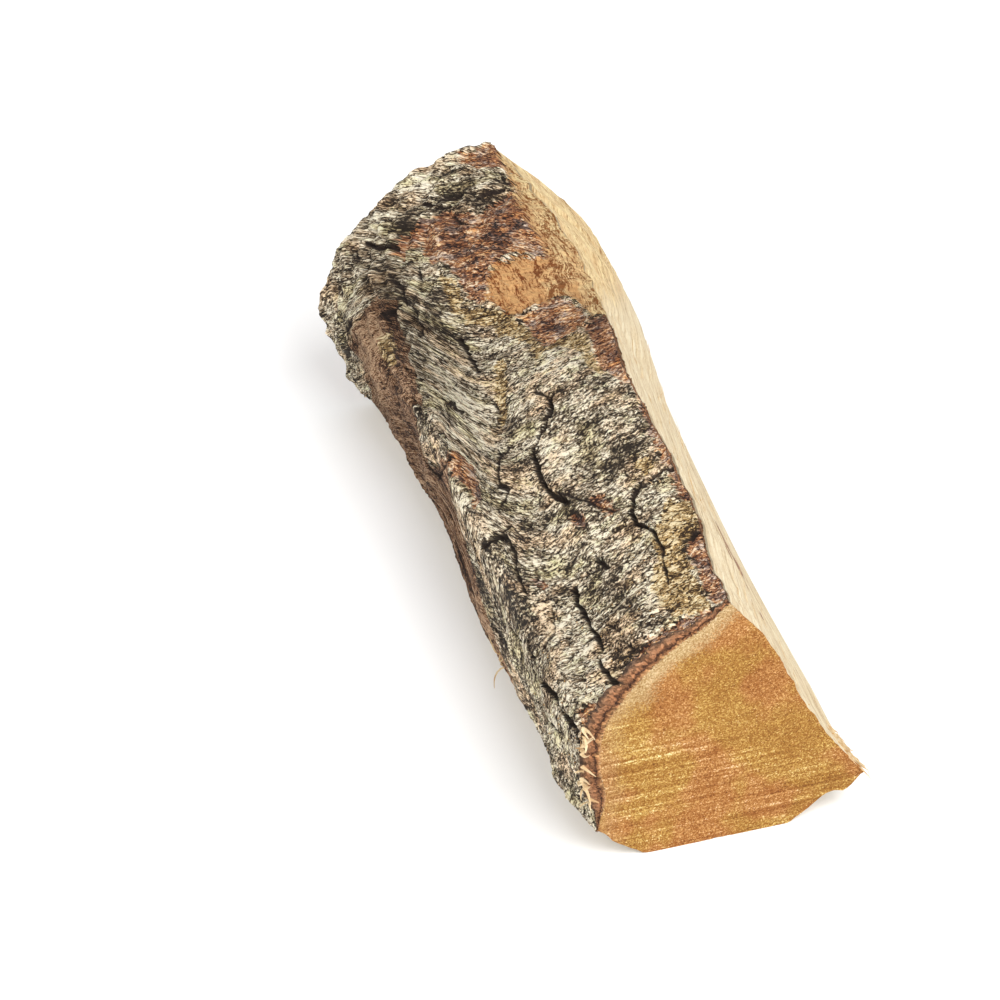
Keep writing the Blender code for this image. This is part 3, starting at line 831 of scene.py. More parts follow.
def build_sawn_end(name, side):
    """The thin sawn end of the wood on one side: a face with the saw's marks, and its border."""
    end = side * LOG_LENGTH / 2
    loops, strips, shares = wood_loops((end, end - side * SAWN_DEPTH))
    border, back = loops
    middle = border.mean(axis=0)
    rings = [border]
    for ring in range(1, CAP_RINGS):
        points = middle + (border - middle) * (1.0 - ring / CAP_RINGS)
        points[:, 1] = end + side * sawn_relief(points[:, 0], points[:, 2])
        rings.append(points)
    points = np.concatenate(rings + [middle[None, :], back])
    points[CAP_RINGS * len(border), 1] = end
    front_faces, border_faces = sawn_faces(len(border))
    kinds = [0] * len(front_faces) + [1] * len(border_faces)
    faces = front_faces + border_faces
    if side > 0:
        faces = [face[::-1] for face in faces]
    sawn = new_object(name, points, faces, (sawn_material(), split_material()), kinds)
    sawn_attributes(sawn.data, points, strips, shares[0], side)
    sawn.data.set_sharp_from_angle(angle=math.radians(SHARP_DEGREES))
    return sawn


def sliver(path, widths, flat=0.45):
    """Points and faces of one tapered splinter along a path."""
    path = [Vector(point) for point in path]
    points = []
    faces = [[3, 2, 1, 0]]
    for index, point in enumerate(path):
        along = (path[min(index + 1, len(path) - 1)] - path[max(index - 1, 0)]).normalized()
        side = along.cross(Vector((0.0, 0.0, 1.0)))
        side = side.normalized() if side.length > 0.05 else Vector((1.0, 0.0, 0.0))
        top = side.cross(along)
        for corner in range(4):
            angle = math.pi * (0.25 + 0.5 * corner)
            points.append(point + widths[index] * (math.cos(angle) * side + flat * math.sin(angle) * top))
    last = 4 * (len(path) - 1)
    for start in range(0, last, 4):
        for corner in range(4):
            after = (corner + 1) % 4
            faces.append([start + corner, start + after, start + after + 4, start + corner + 4])
    faces.append([last, last + 1, last + 2, last + 3])
    return points, faces


def build_slivers(name, parts, material, least_height=-1.0):
    """One object of many small flat-shaded solids, none of it lower than a height."""
    points = []
    faces = []
    for part_points, part_faces in parts:
        faces += [[len(points) + index for index in face] for face in part_faces]
        points += part_points
    points = np.array(points)
    points[:, 2] = np.maximum(points[:, 2], least_height)
    item = new_object(name, points, faces, (material,), [0] * len(faces))
    item.data.polygons.foreach_set("use_smooth", np.zeros(len(faces), dtype=bool))
    return item


def surface_place(y, part):
    """A point on the bark and the way out from it."""
    y = np.array([[y]])
    part = np.array([[part]])
    x, z, _ = bark_surface(part, y)
    angle = math.radians(bark_angle(part, y).item())
    return Vector((x.item(), y.item(), z.item())), Vector((math.cos(angle), 0.0, math.sin(angle)))


def split_place(y, part):
    """A point on the upper split face and the way out from it."""
    y = np.array([[y]])
    x, z = split_point(np.array([[part]]), y)
    angle = math.radians(bark_angle(0.0, y).item())
    return Vector((x.item(), y.item(), z.item())), Vector((math.sin(angle), 0.0, -math.cos(angle)))


def tuft(rng, y, angle, count, length, width, outward, along):
    """Loose curled fibres in one place, which head out from the bark and along the log by the two shares."""
    crest = curve(CREST_ANGLE, y * MM)
    parts = []
    for _ in range(count):
        part = (angle + 1.5 * rng.normal() - crest) / (FOOT_ANGLE - crest)
        place, out = surface_place((y + rng.uniform(0.0, 1.5)) * MM, min(part, 1.0))
        loose = 1.0 - abs(along)
        heading = outward * out + 0.7 * loose * Vector(rng.normal(size=3)) + along * Vector((0.0, 1.0, 0.0))
        curl = 0.60 * loose * Vector(rng.normal(size=3))
        path = [place - 0.0003 * out]
        reach = length * MM * rng.uniform(0.5, 1.0) / TUFT_STEPS
        for _ in range(TUFT_STEPS):
            path.append(path[-1] + reach * heading.normalized())
            heading = heading.normalized() + curl
        parts.append(sliver(path, [width * MM * (1.0 - 0.11 * step) for step in range(TUFT_STEPS + 1)], 0.3))
    return parts


def face_splinter(rng):
    """A splinter that stands off the split face."""
    y = rng.uniform(-0.145, 0.120)
    part = rng.uniform(0.03, 0.92)
    length = rng.uniform(0.006, 0.024)
    rise = rng.uniform(0.0004, 0.0022)
    width = rng.uniform(0.00018, 0.00042)
    path = []
    for share in SPLINTER_STEPS:
        place, out = split_place(y + length * share, part + 0.01 * rng.normal() * share)
        path.append(place + out * (rise * share**1.6 - 0.0003))
    return sliver(path, [width * (1.0 - 0.88 * share) for share in SPLINTER_STEPS])


def corner_splinter(rng):
    """A torn fibre at the pith edge of the near sawn end."""
    part = rng.uniform(0.0, 0.10)
    length = rng.uniform(0.004, 0.012)
    start = -LOG_LENGTH / 2 + rng.uniform(0.002, 0.024)
    width = rng.uniform(0.0004, 0.0011)
    path = []
    for share in SPLINTER_STEPS:
        place, out = split_place(start - length * share, part)
        path.append(place + out * (0.0016 * share * rng.uniform(0.4, 1.4) - 0.0004))
    return sliver(path, [width * (1.0 - 0.92 * share) for share in SPLINTER_STEPS])


def build_splinters(count):
    """Splinters of the split face, torn fibres at its corner and tufts on the bark."""
    rng = np.random.default_rng(SPLINTER_SEED)
    parts = [face_splinter(rng) for _ in range(count)]
    parts += [corner_splinter(rng) for _ in range(CORNER_SPLINTERS)]
    for spot in TUFTS:
        parts += tuft(rng, *spot)
    material = loose_wood_material("fibre", (0.48, 0.26, 0.10), (0.66, 0.49, 0.28), (0.80, 0.67, 0.44))
    return build_slivers("splinters", parts, material, 0.0003)


def dust_place(rng):
    """A place for a crumb of sawdust, on the sawn end or on the bark beside it, and the way out."""
    end = -LOG_LENGTH / 2
    if rng.random() < 0.7:
        angle = math.radians(rng.uniform(122.0, 180.0))
        reach = rng.uniform(0.05, 1.0) ** 0.6 * 0.095
        x = curve(PITH_X, end) - MIDDLE_X + reach * math.cos(angle)
        return Vector((x, end, PITH_HEIGHT + reach * math.sin(angle))), Vector((0.0, -1.0, 0.0))
    return surface_place(end + 0.05 * rng.random() ** 2, rng.uniform(0.1, 0.8))


def build_sawdust(count):
    """Crumbs of sawdust that cling to the sawn end and to the bark beside it."""
    rng = np.random.default_rng(SAWDUST_SEED)
    parts = []
    for _ in range(count):
        size = rng.uniform(0.00014, 0.00034)
        place, out = dust_place(rng)
        along = Vector(rng.normal(size=3)).normalized()
        along = (along - 0.8 * along.dot(out) * out).normalized()
        start = place + out * 0.3 * size - along * size
        path = [start, start + along * size, start + along * 2.0 * size]
        parts.append(sliver(path, [0.45 * size, 0.6 * size, 0.3 * size], 0.8))
    material = loose_wood_material("sawdust", (0.42, 0.19, 0.05), (0.60, 0.33, 0.11), (0.78, 0.54, 0.25))
    return build_slivers("sawdust", parts, material)


def add_node(tree, kind, values=None, **settings):
    """Add a node with its options, and link or set its inputs."""
    item = tree.nodes.new(kind)
    item.location = (180.0 * (len(tree.nodes) % 12), -260.0 * (len(tree.nodes) // 12))
    for name, value in settings.items():
        setattr(item, name, value)
    for name, value in (values or {}).items():
        if isinstance(value, bpy.types.NodeSocket):
            tree.links.new(value, item.inputs[name])
        else:
            item.inputs[name].default_value = value
    return item


def calculate(tree, operation, first, second=0.0, clamp=False):
    """A Math node's result."""
    values = {0: first, 1: second}
    return add_node(tree, "ShaderNodeMath", values, operation=operation, use_clamp=clamp).outputs[0]


def step_up(tree, value, low, high):
    """Go smoothly from 0 to 1 as the value goes from low to high."""
    values = {"Value": value, "From Min": low, "From Max": high}
    item = add_node(tree, "ShaderNodeMapRange", values, interpolation_type="SMOOTHSTEP", clamp=True)
    return item.outputs["Result"]


def mix_colour(tree, part, low, high, blend="MIX"):
    """Blend two colours."""
    item = add_node(tree, "ShaderNodeMix", {0: part, 6: low, 7: high}, data_type="RGBA", blend_type=blend)
    return item.outputs[2]


def crumb_value(tree, place):
    """A value for each crumb of a mosaic, one crumb a unit."""
    values = {"Vector": place, "Scale": 1.0}
    item = add_node(tree, "ShaderNodeTexVoronoi", values, feature="F1")
    return add_node(tree, "ShaderNodeSeparateColor", {"Color": item.outputs["Color"]}).outputs["Red"]


def crumb_border(tree, place, scale):
    """Distance from the borders of a mosaic of crumbs."""
    values = {"Vector": place, "Scale": scale}
    return add_node(tree, "ShaderNodeTexVoronoi", values, feature="DISTANCE_TO_EDGE").outputs["Distance"]


def noise_value(tree, place, scale, detail=3.0, roughness=0.6):
    """A Noise Texture's value."""
    values = {"Vector": place, "Scale": scale, "Detail": detail, "Roughness": roughness}
    return add_node(tree, "ShaderNodeTexNoise", values).outputs["Fac"]


def attribute(tree, name):
    """The three values stored on the mesh under one name."""
    item = add_node(tree, "ShaderNodeAttribute", attribute_name=name)
    split = add_node(tree, "ShaderNodeSeparateXYZ", {"Vector": item.outputs["Vector"]})
    return split.outputs["X"], split.outputs["Y"], split.outputs["Z"]


def weighted(tree, start, *terms):
    """A start value plus the sum of (value, weight, middle), each value less its middle times its weight."""
    total = start
    for value, weight, middle in terms:
        centred = calculate(tree, "SUBTRACT", value, middle)
        total = calculate(tree, "ADD", total, calculate(tree, "MULTIPLY", centred, weight))
    return total


def scaled(tree, place, along, across):
    """A place scaled along the grain and across it."""
    values = {0: place, 1: (along, across, across)}
    return add_node(tree, "ShaderNodeVectorMath", values, operation="MULTIPLY").outputs["Vector"]


def streaks(tree, place, along, across, detail=3.0, roughness=0.6):
    """A Noise Texture's value at a place scaled along the grain and across it."""
    return noise_value(tree, scaled(tree, place, along, across), 1.0, detail, roughness)


def bent(tree, start, place, amount, detail, roughness, scale=1.0):
    """A start place moved about by noise that is read at a place."""
    values = {"Vector": place, "Scale": scale, "Detail": detail, "Roughness": roughness}
    shift = add_node(tree, "ShaderNodeTexNoise", values).outputs["Color"]
    values = {0: shift, 1: (amount, amount, amount), 2: start}
    return add_node(tree, "ShaderNodeVectorMath", values, operation="MULTIPLY_ADD").outputs[0]


def stretched(tree, name, along, across):
    """The place stored on the mesh, scaled along and across the grain."""
    item = add_node(tree, "ShaderNodeAttribute", attribute_name=name)
    return scaled(tree, item.outputs["Vector"], along, across)


def ramp_colour(tree, value, *stops):
    """A colour ramp through (place, colour) stops."""
    item = add_node(tree, "ShaderNodeValToRGB", {"Fac": value})
    elements = item.color_ramp.elements
    while len(elements) < len(stops):
        elements.new(0.5)
    for element, (place, colour) in zip(elements, stops):
        element.position = place
        element.color = (*colour[:3], 1.0)
    return item.outputs["Color"]


def new_group(name, inputs, outputs):
    """An empty shader node group. Each input has a starting number, or the kind of its socket."""
    group = bpy.data.node_groups.new(name, "ShaderNodeTree")
    for label, start in inputs.items():
        kind = start if isinstance(start, str) else "Float"
        socket = group.interface.new_socket(label, in_out="INPUT", socket_type="NodeSocket" + kind)
        if kind == "Float":
            socket.default_value = start
    for label, kind in outputs.items():
        group.interface.new_socket(label, in_out="OUTPUT", socket_type="NodeSocket" + kind)
    return group, add_node(group, "NodeGroupInput"), add_node(group, "NodeGroupOutput")


def grain_group():
    """Fibres of wood: long streaks with finer ones between them."""
    inputs = {"Place": "Vector", "Contrast": 1.0}
    group, start, end = new_group("Wood grain", inputs, {"Streaks": "Float", "Fibres": "Float"})
    broad = noise_value(group, start.outputs["Place"], 1.0, 3.0, 0.55)
    narrow = noise_value(group, start.outputs["Place"], 3.4, 4.0, 0.7)
    for label, value in (("Streaks", broad), ("Fibres", narrow)):
        centred = calculate(group, "SUBTRACT", value, 0.5)
        stronger = calculate(group, "MULTIPLY", centred, start.outputs["Contrast"])
        group.links.new(calculate(group, "ADD", stronger, 0.5, True), end.inputs[label])
    return group


def bark_marks_group():
    """The crumbs, flakes, creases and patches that mottle every layer of the bark, finest first, with painted
    shade in the creases.
    """
    labels = ("Grains", "Flecks", "Scales", "Flakes", "Creases", "Patches", "Tint", "Wash")
    group, start, end = new_group("Bark marks", {"Place": "Vector"}, dict.fromkeys(labels, "Float"))
    place = start.outputs["Place"]
    flakes = scaled(group, place, 330.0, 120.0)
    flakes = bent(group, flakes, scaled(group, place, 300.0, 200.0), 1.8, 2.0, 0.6)
    # borders and Creases are 0 at the edges between flakes; the bark's colours darken there, as painted
    # shade.
    borders = step_up(group, crumb_border(group, flakes, 2.6), 0.0, 0.10)
    marks = (
        crumb_value(group, scaled(group, place, 2000.0, 1100.0)),
        weighted(group, streaks(group, place, 1120.0, 290.0, 4.0, 0.77), (borders, 0.11, 0.85)),
        streaks(group, place, 420.0, 130.0),
        crumb_value(group, flakes),
        step_up(group, crumb_border(group, flakes, 1.0), 0.0, 0.09),
        streaks(group, place, 100.0, 80.0),
        streaks(group, place, 170.0, 120.0, 4.0, 0.75),
        streaks(group, place, 62.0, 42.0),
    )
    for label, value in zip(labels, marks):
        group.links.new(value, end.inputs[label])
    return group


def ragged_group():
    """A patch whose border is torn into crumbs. Its depth and raggedness are in millimetres."""
    inputs = {"Depth": 0.0, "Crumbs": 0.5, "Scales": 0.5, "Raggedness": 4.0}
    group, start, end = new_group("Ragged border", inputs, {"Mask": "Float"})
    both = calculate(group, "ADD", start.outputs["Crumbs"], start.outputs["Scales"])
    centred = calculate(group, "SUBTRACT", both, 1.0)
    shift = calculate(group, "MULTIPLY", centred, start.outputs["Raggedness"])
    moved = calculate(group, "ADD", start.outputs["Depth"], shift)
    group.links.new(step_up(group, moved, -0.25, 0.25), end.inputs["Mask"])
    return group


def knob_wood_group():
    """Bare wood of the knob: cream, warmer where asked, in short torn strokes."""
    inputs = {"Place": "Vector", "Warmth": 0.0, "Contrast": 1.0, "Light": "Color", "Warm": "Color"}
    group, start, end = new_group("Knob wood", inputs, {"Color": "Color"})
    place = start.outputs["Place"]
    curled = bent(group, place, place, 9.0, 1.0, 0.5, 0.05)
    strokes = noise_value(group, curled, 1.0, 4.0, 0.75)
    crumbs = crumb_value(group, scaled(group, curled, 5.0, 2.0))
    tufts = noise_value(group, curled, 0.36, 3.0, 0.7)
    blots = noise_value(group, place, 0.11, 3.0, 0.6)
    warm = weighted(group, start.outputs["Warmth"], (blots, 3.0, 0.5))
    warm = calculate(group, "MAXIMUM", warm, 0.0, True)
    wood = mix_colour(group, warm, start.outputs["Light"], start.outputs["Warm"])
    terms = ((strokes, 4.2, 0.5), (crumbs, 0.85, 0.5), (tufts, 2.7, 0.5), (blots, 2.2, 0.5))
    tone = calculate(group, "MULTIPLY", weighted(group, 0.0, *terms), start.outputs["Contrast"])
    tone = calculate(group, "ADD", tone, 0.54)
    shade = ramp_colour(
        group, tone, (0.05, (0.36, 0.20, 0.11)), (0.34, (0.78, 0.68, 0.56)), (0.60, (1.04, 1.04, 1.02)),
        (0.95, (1.20, 1.32, 1.30)))
    group.links.new(mix_colour(group, 1.0, wood, shade, "MULTIPLY"), end.inputs["Color"])
    return group


GROUP_MAKERS = {
    "Wood grain": grain_group,
    "Bark marks": bark_marks_group,
    "Ragged border": ragged_group,
    "Knob wood": knob_wood_group,
}


def shared(tree, name, values):
    """Place a shared node group, which is built the first time it is asked for."""
    group = bpy.data.node_groups.get(name) or GROUP_MAKERS[name]()
    return add_node(tree, "ShaderNodeGroup", values, node_tree=group).outputs


def bark_marks(tree):
    """The marks that mottle the bark, at the place stored on the mesh."""
    return shared(tree, "Bark marks", {"Place": stretched(tree, "place", 1.0, 1.0)})


def wood_grain(tree, along, across, contrast):
    """Streaks and fibres of the wood, scaled along and across the grain."""
    values = {"Place": stretched(tree, "grain", along, across), "Contrast": contrast}
    return shared(tree, "Wood grain", values)


def torn_mask(tree, depth, crumbs, scales, ragged):
    """Where a patch covers, with its border torn by crumbs and scales."""
    values = {"Depth": depth, "Crumbs": crumbs, "Scales": scales, "Raggedness": ragged}
    return shared(tree, "Ragged border", values)["Mask"]


def knob_wood(tree, along, across, warmth, contrast=1.0):
    """Colour of the knob's bare wood, scaled along and across the grain."""
    look = bpy.context.scene.split_log_look
    values = {"Place": stretched(tree, "grain", along, across), "Warmth": warmth, "Contrast": contrast}
    values.update({"Light": (*look.bare_light, 1.0), "Warm": (*look.bare_warm, 1.0)})
    return shared(tree, "Knob wood", values)["Color"]


def new_material(name):
    """A material with a plain Principled shader, its tree and the shader."""
    material = bpy.data.materials.new(name)
    material.use_nodes = True
    tree = material.node_tree
    shader = tree.nodes["Principled BSDF"]
    shader.inputs["Metallic"].default_value = 0.0
    shader.inputs["Specular IOR Level"].default_value = 0.25
    return material, tree, shader


def finish_surface(tree, shader, colour, roughness, height, distance):
    """Feed the shader's colour, roughness and bump."""
    tree.links.new(colour, shader.inputs["Base Color"])
    tree.links.new(roughness, shader.inputs["Roughness"])
    values = {"Height": height, "Distance": distance, "Strength": 1.0}
    bump = add_node(tree, "ShaderNodeBump", values)
    tree.links.new(bump.outputs["Normal"], shader.inputs["Normal"])


def mottled(tree, marks, start, gains, *terms):
    """A tone of the bark: a start value with the marks at their gains, and other (value, weight, middle)."""
    for name, gain in gains.items():
        # Creases is centred on 1, so in a colour tone it only darkens the borders between flakes: painted
        # shade.
        terms += ((marks[name], gain, 1.0 if name == "Creases" else 0.5),)
    return weighted(tree, start, *terms)


def plates_colour(tree, look, marks, lightness):
    """The bark's grey plates, greenish here and rosy there."""
    colour = ramp_colour(
        tree, lightness, (0.03, look.bark_dark), (0.26, look.bark_brown), (0.50, look.bark_mid),
        (0.76, look.bark_light), (1.0, look.bark_palest))
    washes = (
        ("Tint", 0.50, 0.66, (0.93, 0.97, 0.83, 1.0)),
        ("Wash", 0.52, 0.38, (1.06, 0.90, 0.77, 1.0)),
        ("Wash", 0.54, 0.66, (0.93, 0.91, 0.72, 1.0)),
    )
    for name, low, high, shade in washes:
        wash = mix_colour(tree, step_up(tree, marks[name], low, high), PLAIN, shade)
        colour = mix_colour(tree, 0.9, colour, wash, "MULTIPLY")
    return colour


def flaked_colour(tree, look, lightness):
    """Ochre bark that has flaked."""
    return ramp_colour(
        tree, lightness, (0.03, (0.040, 0.022, 0.010)), (0.28, (0.16, 0.090, 0.036)), (0.52, look.ochre),
        (0.80, (0.60, 0.41, 0.18)), (1.0, (0.84, 0.70, 0.44)))


def torn_colour(tree, look, marks, dark, height):
    """Torn inner bark: rust, orange and pale crumbs with grey ones between them."""
    # Creases darken the borders between flakes here: painted shade.
    gains = {"Grains": 0.72, "Flecks": 1.8, "Scales": 0.9, "Flakes": 0.30, "Creases": 0.26, "Patches": 0.9}
    # The relief height darkens the hollows and lightens the high crumbs: painted shade and painted light.
    tone = mottled(tree, marks, 0.62, gains, (dark, -0.32, 0.0), (height, 0.10, 0.0))
    rust = ramp_colour(
        tree, tone, (0.04, (0.020, 0.010, 0.008)), (0.30, (0.115, 0.042, 0.022)), (0.55, look.inner_bark),
        (0.80, (0.60, 0.31, 0.14)), (1.0, (0.88, 0.68, 0.46)))
    grey = ramp_colour(
        tree, tone, (0.04, (0.022, 0.015, 0.014)), (0.35, (0.110, 0.066, 0.050)),
        (0.65, (0.29, 0.190, 0.145)), (1.0, (0.76, 0.60, 0.47)))
    orange = mix_colour(tree, step_up(tree, marks["Tint"], 0.47, 0.36), PLAIN, (1.25, 1.10, 0.80, 1.0))
    rust = mix_colour(tree, 1.0, rust, orange, "MULTIPLY")
    return mix_colour(tree, step_up(tree, marks["Tint"], 0.50, 0.60), rust, grey)


def worn_colour(tree, marks, fibres, pale, dark):
    """The smoother bark low on the log, brown with streaks along it."""
    # Creases darken the borders between flakes here: painted shade.
    gains = {"Grains": 0.65, "Flecks": 1.9, "Scales": 1.3, "Creases": 0.45, "Patches": 1.8}
    tone = mottled(tree, marks, 0.56, gains, (fibres, 2.2, 0.5), (pale, 0.30, 0.0), (dark, -0.32, 0.0))
    return ramp_colour(
        tree, tone, (0.04, (0.020, 0.010, 0.006)), (0.30, (0.116, 0.056, 0.028)),
        (0.55, (0.255, 0.118, 0.055)), (0.95, (0.57, 0.385, 0.235)))


def bark_material():
    """Grey plates with dark flecks round the trunk, torn red inner bark, ochre flakes, and fissures painted
    black as painted shade.
    """
    look = bpy.context.scene.split_log_look
    material, tree, shader = new_material("bark")
    bare, inner, ochre = attribute(tree, "coat")
    smooth, dark, pale = attribute(tree, "tone")
    crack, _, height = attribute(tree, "crack_rim_height")
    _, across, _ = attribute(tree, "grain")
    marks = bark_marks(tree)
    dark = step_up(tree, dark, -3.0, 3.0)
    pale = step_up(tree, pale, -3.0, 3.0)
    # Creases darken the borders between flakes here: painted shade.
    gains = {"Grains": 0.95, "Flecks": 2.8, "Scales": 1.35, "Flakes": 0.42, "Creases": 0.62, "Patches": 1.45}
    # The relief height darkens hollows and lightens ridges: painted shade and painted light.
    lightness = mottled(tree, marks, 0.62, gains, (height, 0.18, 0.0), (pale, 0.20, 0.0), (dark, -0.34, 0.0))
    fibres = wood_grain(tree, 150.0, 900.0, 1.6)["Fibres"]
    colour = plates_colour(tree, look, marks, lightness)
    layers = (
        (smooth, worn_colour(tree, marks, fibres, pale, dark), 5.0),
        (ochre, flaked_colour(tree, look, lightness), 6.0),
        (inner, torn_colour(tree, look, marks, dark, height), 6.0),
        (bare, knob_wood(tree, 240.0, 950.0, step_up(tree, across, -0.012, 0.018)), 8.0),
    )
    for depth, layer, ragged in layers:
        mask = torn_mask(tree, depth, marks["Flecks"], marks["Scales"], ragged)
        colour = mix_colour(tree, mask, colour, layer)
    # The fissures and hair cracks are painted near black: painted shade deep in the cracks.
    fissure = torn_mask(tree, crack, marks["Flecks"], marks["Scales"], 1.3)
    fissure = calculate(tree, "MULTIPLY", fissure, 0.95)
    colour = mix_colour(tree, fissure, colour, (0.020, 0.012, 0.009, 1.0))
    rough = weighted(tree, 0.86, (marks["Flecks"], 0.25, 0.5))
    gains = {"Grains": 0.20, "Flecks": 1.1, "Scales": 0.8, "Flakes": 0.45, "Creases": 0.40}
    finish_surface(tree, shader, colour, rough, mottled(tree, marks, 0.0, gains), 0.0010)
    return material


def bark_edge_material():
    """The cut and torn edge of the bark: reddish brown in layers, with a dark line next to the wood."""
    material, tree, shader = new_material("bark_edge")
    bare, _, _ = attribute(tree, "coat")
    _, depth, _ = attribute(tree, "crack_rim_height")
    marks = bark_marks(tree)
    broad = noise_value(tree, stretched(tree, "place", 240.0, 240.0), 1.0, 3.0, 0.6)
    layers = weighted(tree, depth, (marks["Flecks"], 0.38, 0.5), (broad, 0.45, 0.5))
    colour = ramp_colour(
        tree, layers, (0.06, (0.090, 0.056, 0.038)), (0.22, (0.32, 0.170, 0.092)),
        (0.56, (0.35, 0.160, 0.075)), (0.70, (0.045, 0.018, 0.012)), (0.80, (0.31, 0.14, 0.06)),
        (0.97, (0.50, 0.29, 0.13)))
    crumbs = ramp_colour(tree, marks["Grains"], (0.05, (0.45, 0.42, 0.40)), (0.95, (1.55, 1.50, 1.45)))
    colour = mix_colour(tree, 1.0, colour, crumbs, "MULTIPLY")
    colour = mix_colour(tree, step_up(tree, bare, -0.5, 0.5), colour, knob_wood(tree, 240.0, 950.0, 0.3))
    rough = weighted(tree, 0.88, (marks["Flecks"], 0.2, 0.5))
    bump = mottled(tree, marks, 0.0, {"Grains": 0.3, "Flecks": 1.5, "Scales": 1.0})
    finish_surface(tree, shader, colour, rough, bump, 0.0012)
    return material


def split_material():
    """Fresh split wood: cream, with long fibres, a few rusty flecks and the knob's bare wood."""
    look = bpy.context.scene.split_log_look
    material, tree, shader = new_material("split_wood")
    bare, stain, _ = attribute(tree, "coat")
    _, across, _ = attribute(tree, "grain")
    grain = wood_grain(tree, 30.0, 560.0, 2.4)
    crumbs = crumb_value(tree, stretched(tree, "grain", 1500.0, 2400.0))
    terms = ((grain["Streaks"], 0.75, 0.5), (grain["Fibres"], 0.40, 0.5), (crumbs, 0.26, 0.5))
    tone = weighted(tree, 0.5, *terms)
    colour = ramp_colour(
        tree, tone, (0.02, (0.42, 0.28, 0.14)), (0.28, (0.66, 0.50, 0.30)), (0.50, look.split_wood),
        (0.90, (0.90, 0.81, 0.60)))
    specks = noise_value(tree, stretched(tree, "grain", 170.0, 700.0), 1.0, 4.0, 0.72)
    specks = step_up(tree, specks, 0.645, 0.705)
    stains = torn_mask(tree, stain, grain["Fibres"], grain["Streaks"], 2.0)
    flecks = calculate(tree, "MULTIPLY", calculate(tree, "MAXIMUM", specks, stains), 0.85)
    colour = mix_colour(tree, flecks, colour, (0.25, 0.085, 0.035, 1.0))
    knob = knob_wood(tree, 130.0, 900.0, step_up(tree, across, -0.012, 0.018), 0.42)
    knob_share = step_up(tree, weighted(tree, bare, (tone, 8.0, 0.5)), -4.0, 5.0)
    colour = mix_colour(tree, knob_share, colour, knob)
    rough = weighted(tree, 0.72, (grain["Fibres"], 0.25, 0.5))
    finish_surface(tree, shader, colour, rough, tone, 0.0007)
    return material


def sapwood(tree, inside, tone, blotches, crumbs, low):
    """How much pale sapwood there is under the bark, and its colour."""
    reach = weighted(tree, inside, (blotches, 0.020, 0.5), (crumbs, 0.030, 0.5))
    band = step_up(tree, reach, 0.0095, 0.0025)
    band = calculate(tree, "MULTIPLY", band, weighted(tree, 0.72, (low, -0.56, 0.0)))
    colour = ramp_colour(
        tree, tone, (0.05, (0.34, 0.19, 0.06)), (0.45, (0.60, 0.43, 0.20)), (0.90, (0.86, 0.76, 0.52)))
    return band, colour


def sawn_material():
    """The sawn end: golden wood with sawdust, faint rings, pale sapwood near the crest, the saw's lines."""
    look = bpy.context.scene.split_log_look
    material, tree, shader = new_material("sawn_wood")
    radius, around, inside = attribute(tree, "ring")
    place = add_node(tree, "ShaderNodeTexCoord").outputs["Object"]
    grains = crumb_value(tree, scaled(tree, place, 2300.0, 2300.0))
    crumbs = noise_value(tree, place, 1300.0, 4.0, 0.75)
    blotches = noise_value(tree, place, 60.0, 3.0, 0.6)
    values = {0: place, 1: (16.0, 1.0, 800.0)}
    saw_place = add_node(tree, "ShaderNodeVectorMath", values, operation="MULTIPLY").outputs["Vector"]
    saw_lines = noise_value(tree, saw_place, 1.0, 1.0, 0.5)
    radial = add_node(tree, "ShaderNodeCombineXYZ", {"X": calculate(tree, "MULTIPLY", radius, 330.0)})
    rings = noise_value(tree, radial.outputs["Vector"], 1.0, 3.0, 0.6)
    low = step_up(tree, around, BARK_SCALE * math.radians(142.0), BARK_SCALE * math.radians(160.0))
    saw = calculate(tree, "MULTIPLY", calculate(tree, "SUBTRACT", saw_lines, 0.5), low)
    terms = ((grains, 0.55, 0.5), (crumbs, 1.25, 0.5), (blotches, 0.45, 0.5), (rings, 0.25, 0.5))
    tone = weighted(tree, 0.47, *terms, (saw, 0.8, 0.0), (low, 0.03, 0.0))
    colour = ramp_colour(
        tree, tone, (0.02, (0.16, 0.048, 0.008)), (0.30, (0.30, 0.116, 0.020)), (0.54, look.sawn_wood),
        (0.82, (0.66, 0.40, 0.12)), (1.0, (0.95, 0.80, 0.46)))
    rosy = step_up(tree, noise_value(tree, place, 45.0, 2.0, 0.5), 0.44, 0.60)
    wash = mix_colour(tree, rosy, (0.99, 1.05, 0.92, 1.0), (1.02, 0.93, 1.04, 1.0))
    colour = mix_colour(tree, 1.0, colour, wash, "MULTIPLY")
    band, sap = sapwood(tree, inside, tone, blotches, crumbs, low)
    colour = mix_colour(tree, band, colour, sap)
    rough = weighted(tree, 0.84, (crumbs, 0.2, 0.5))
    finish_surface(tree, shader, colour, rough, weighted(tree, crumbs, (grains, 0.15, 0.5)), 0.0006)
    return material


def loose_wood_material(name, dark, mid, pale):
    """Loose wood in three tones, for fibres and for crumbs."""
    material, tree, shader = new_material(name)
    place = add_node(tree, "ShaderNodeTexCoord").outputs["Object"]
    change = noise_value(tree, place, 160.0, 3.0, 0.6)
    colour = ramp_colour(tree, change, (0.30, dark), (0.50, mid), (0.70, pale))
    fine = noise_value(tree, place, 1500.0, 2.0, 0.6)
    rough = calculate(tree, "ADD", calculate(tree, "MULTIPLY", fine, 0.2), 0.65)
    finish_surface(tree, shader, colour, rough, fine, 0.0002)
    return material


def floor_material():
    """A plain pale floor."""
    material, _, shader = new_material("floor")
    colour = bpy.context.scene.split_log_stage.floor_colour
    shader.inputs["Base Color"].default_value = (*colour, 1.0)
    shader.inputs["Roughness"].default_value = 0.9
    return material


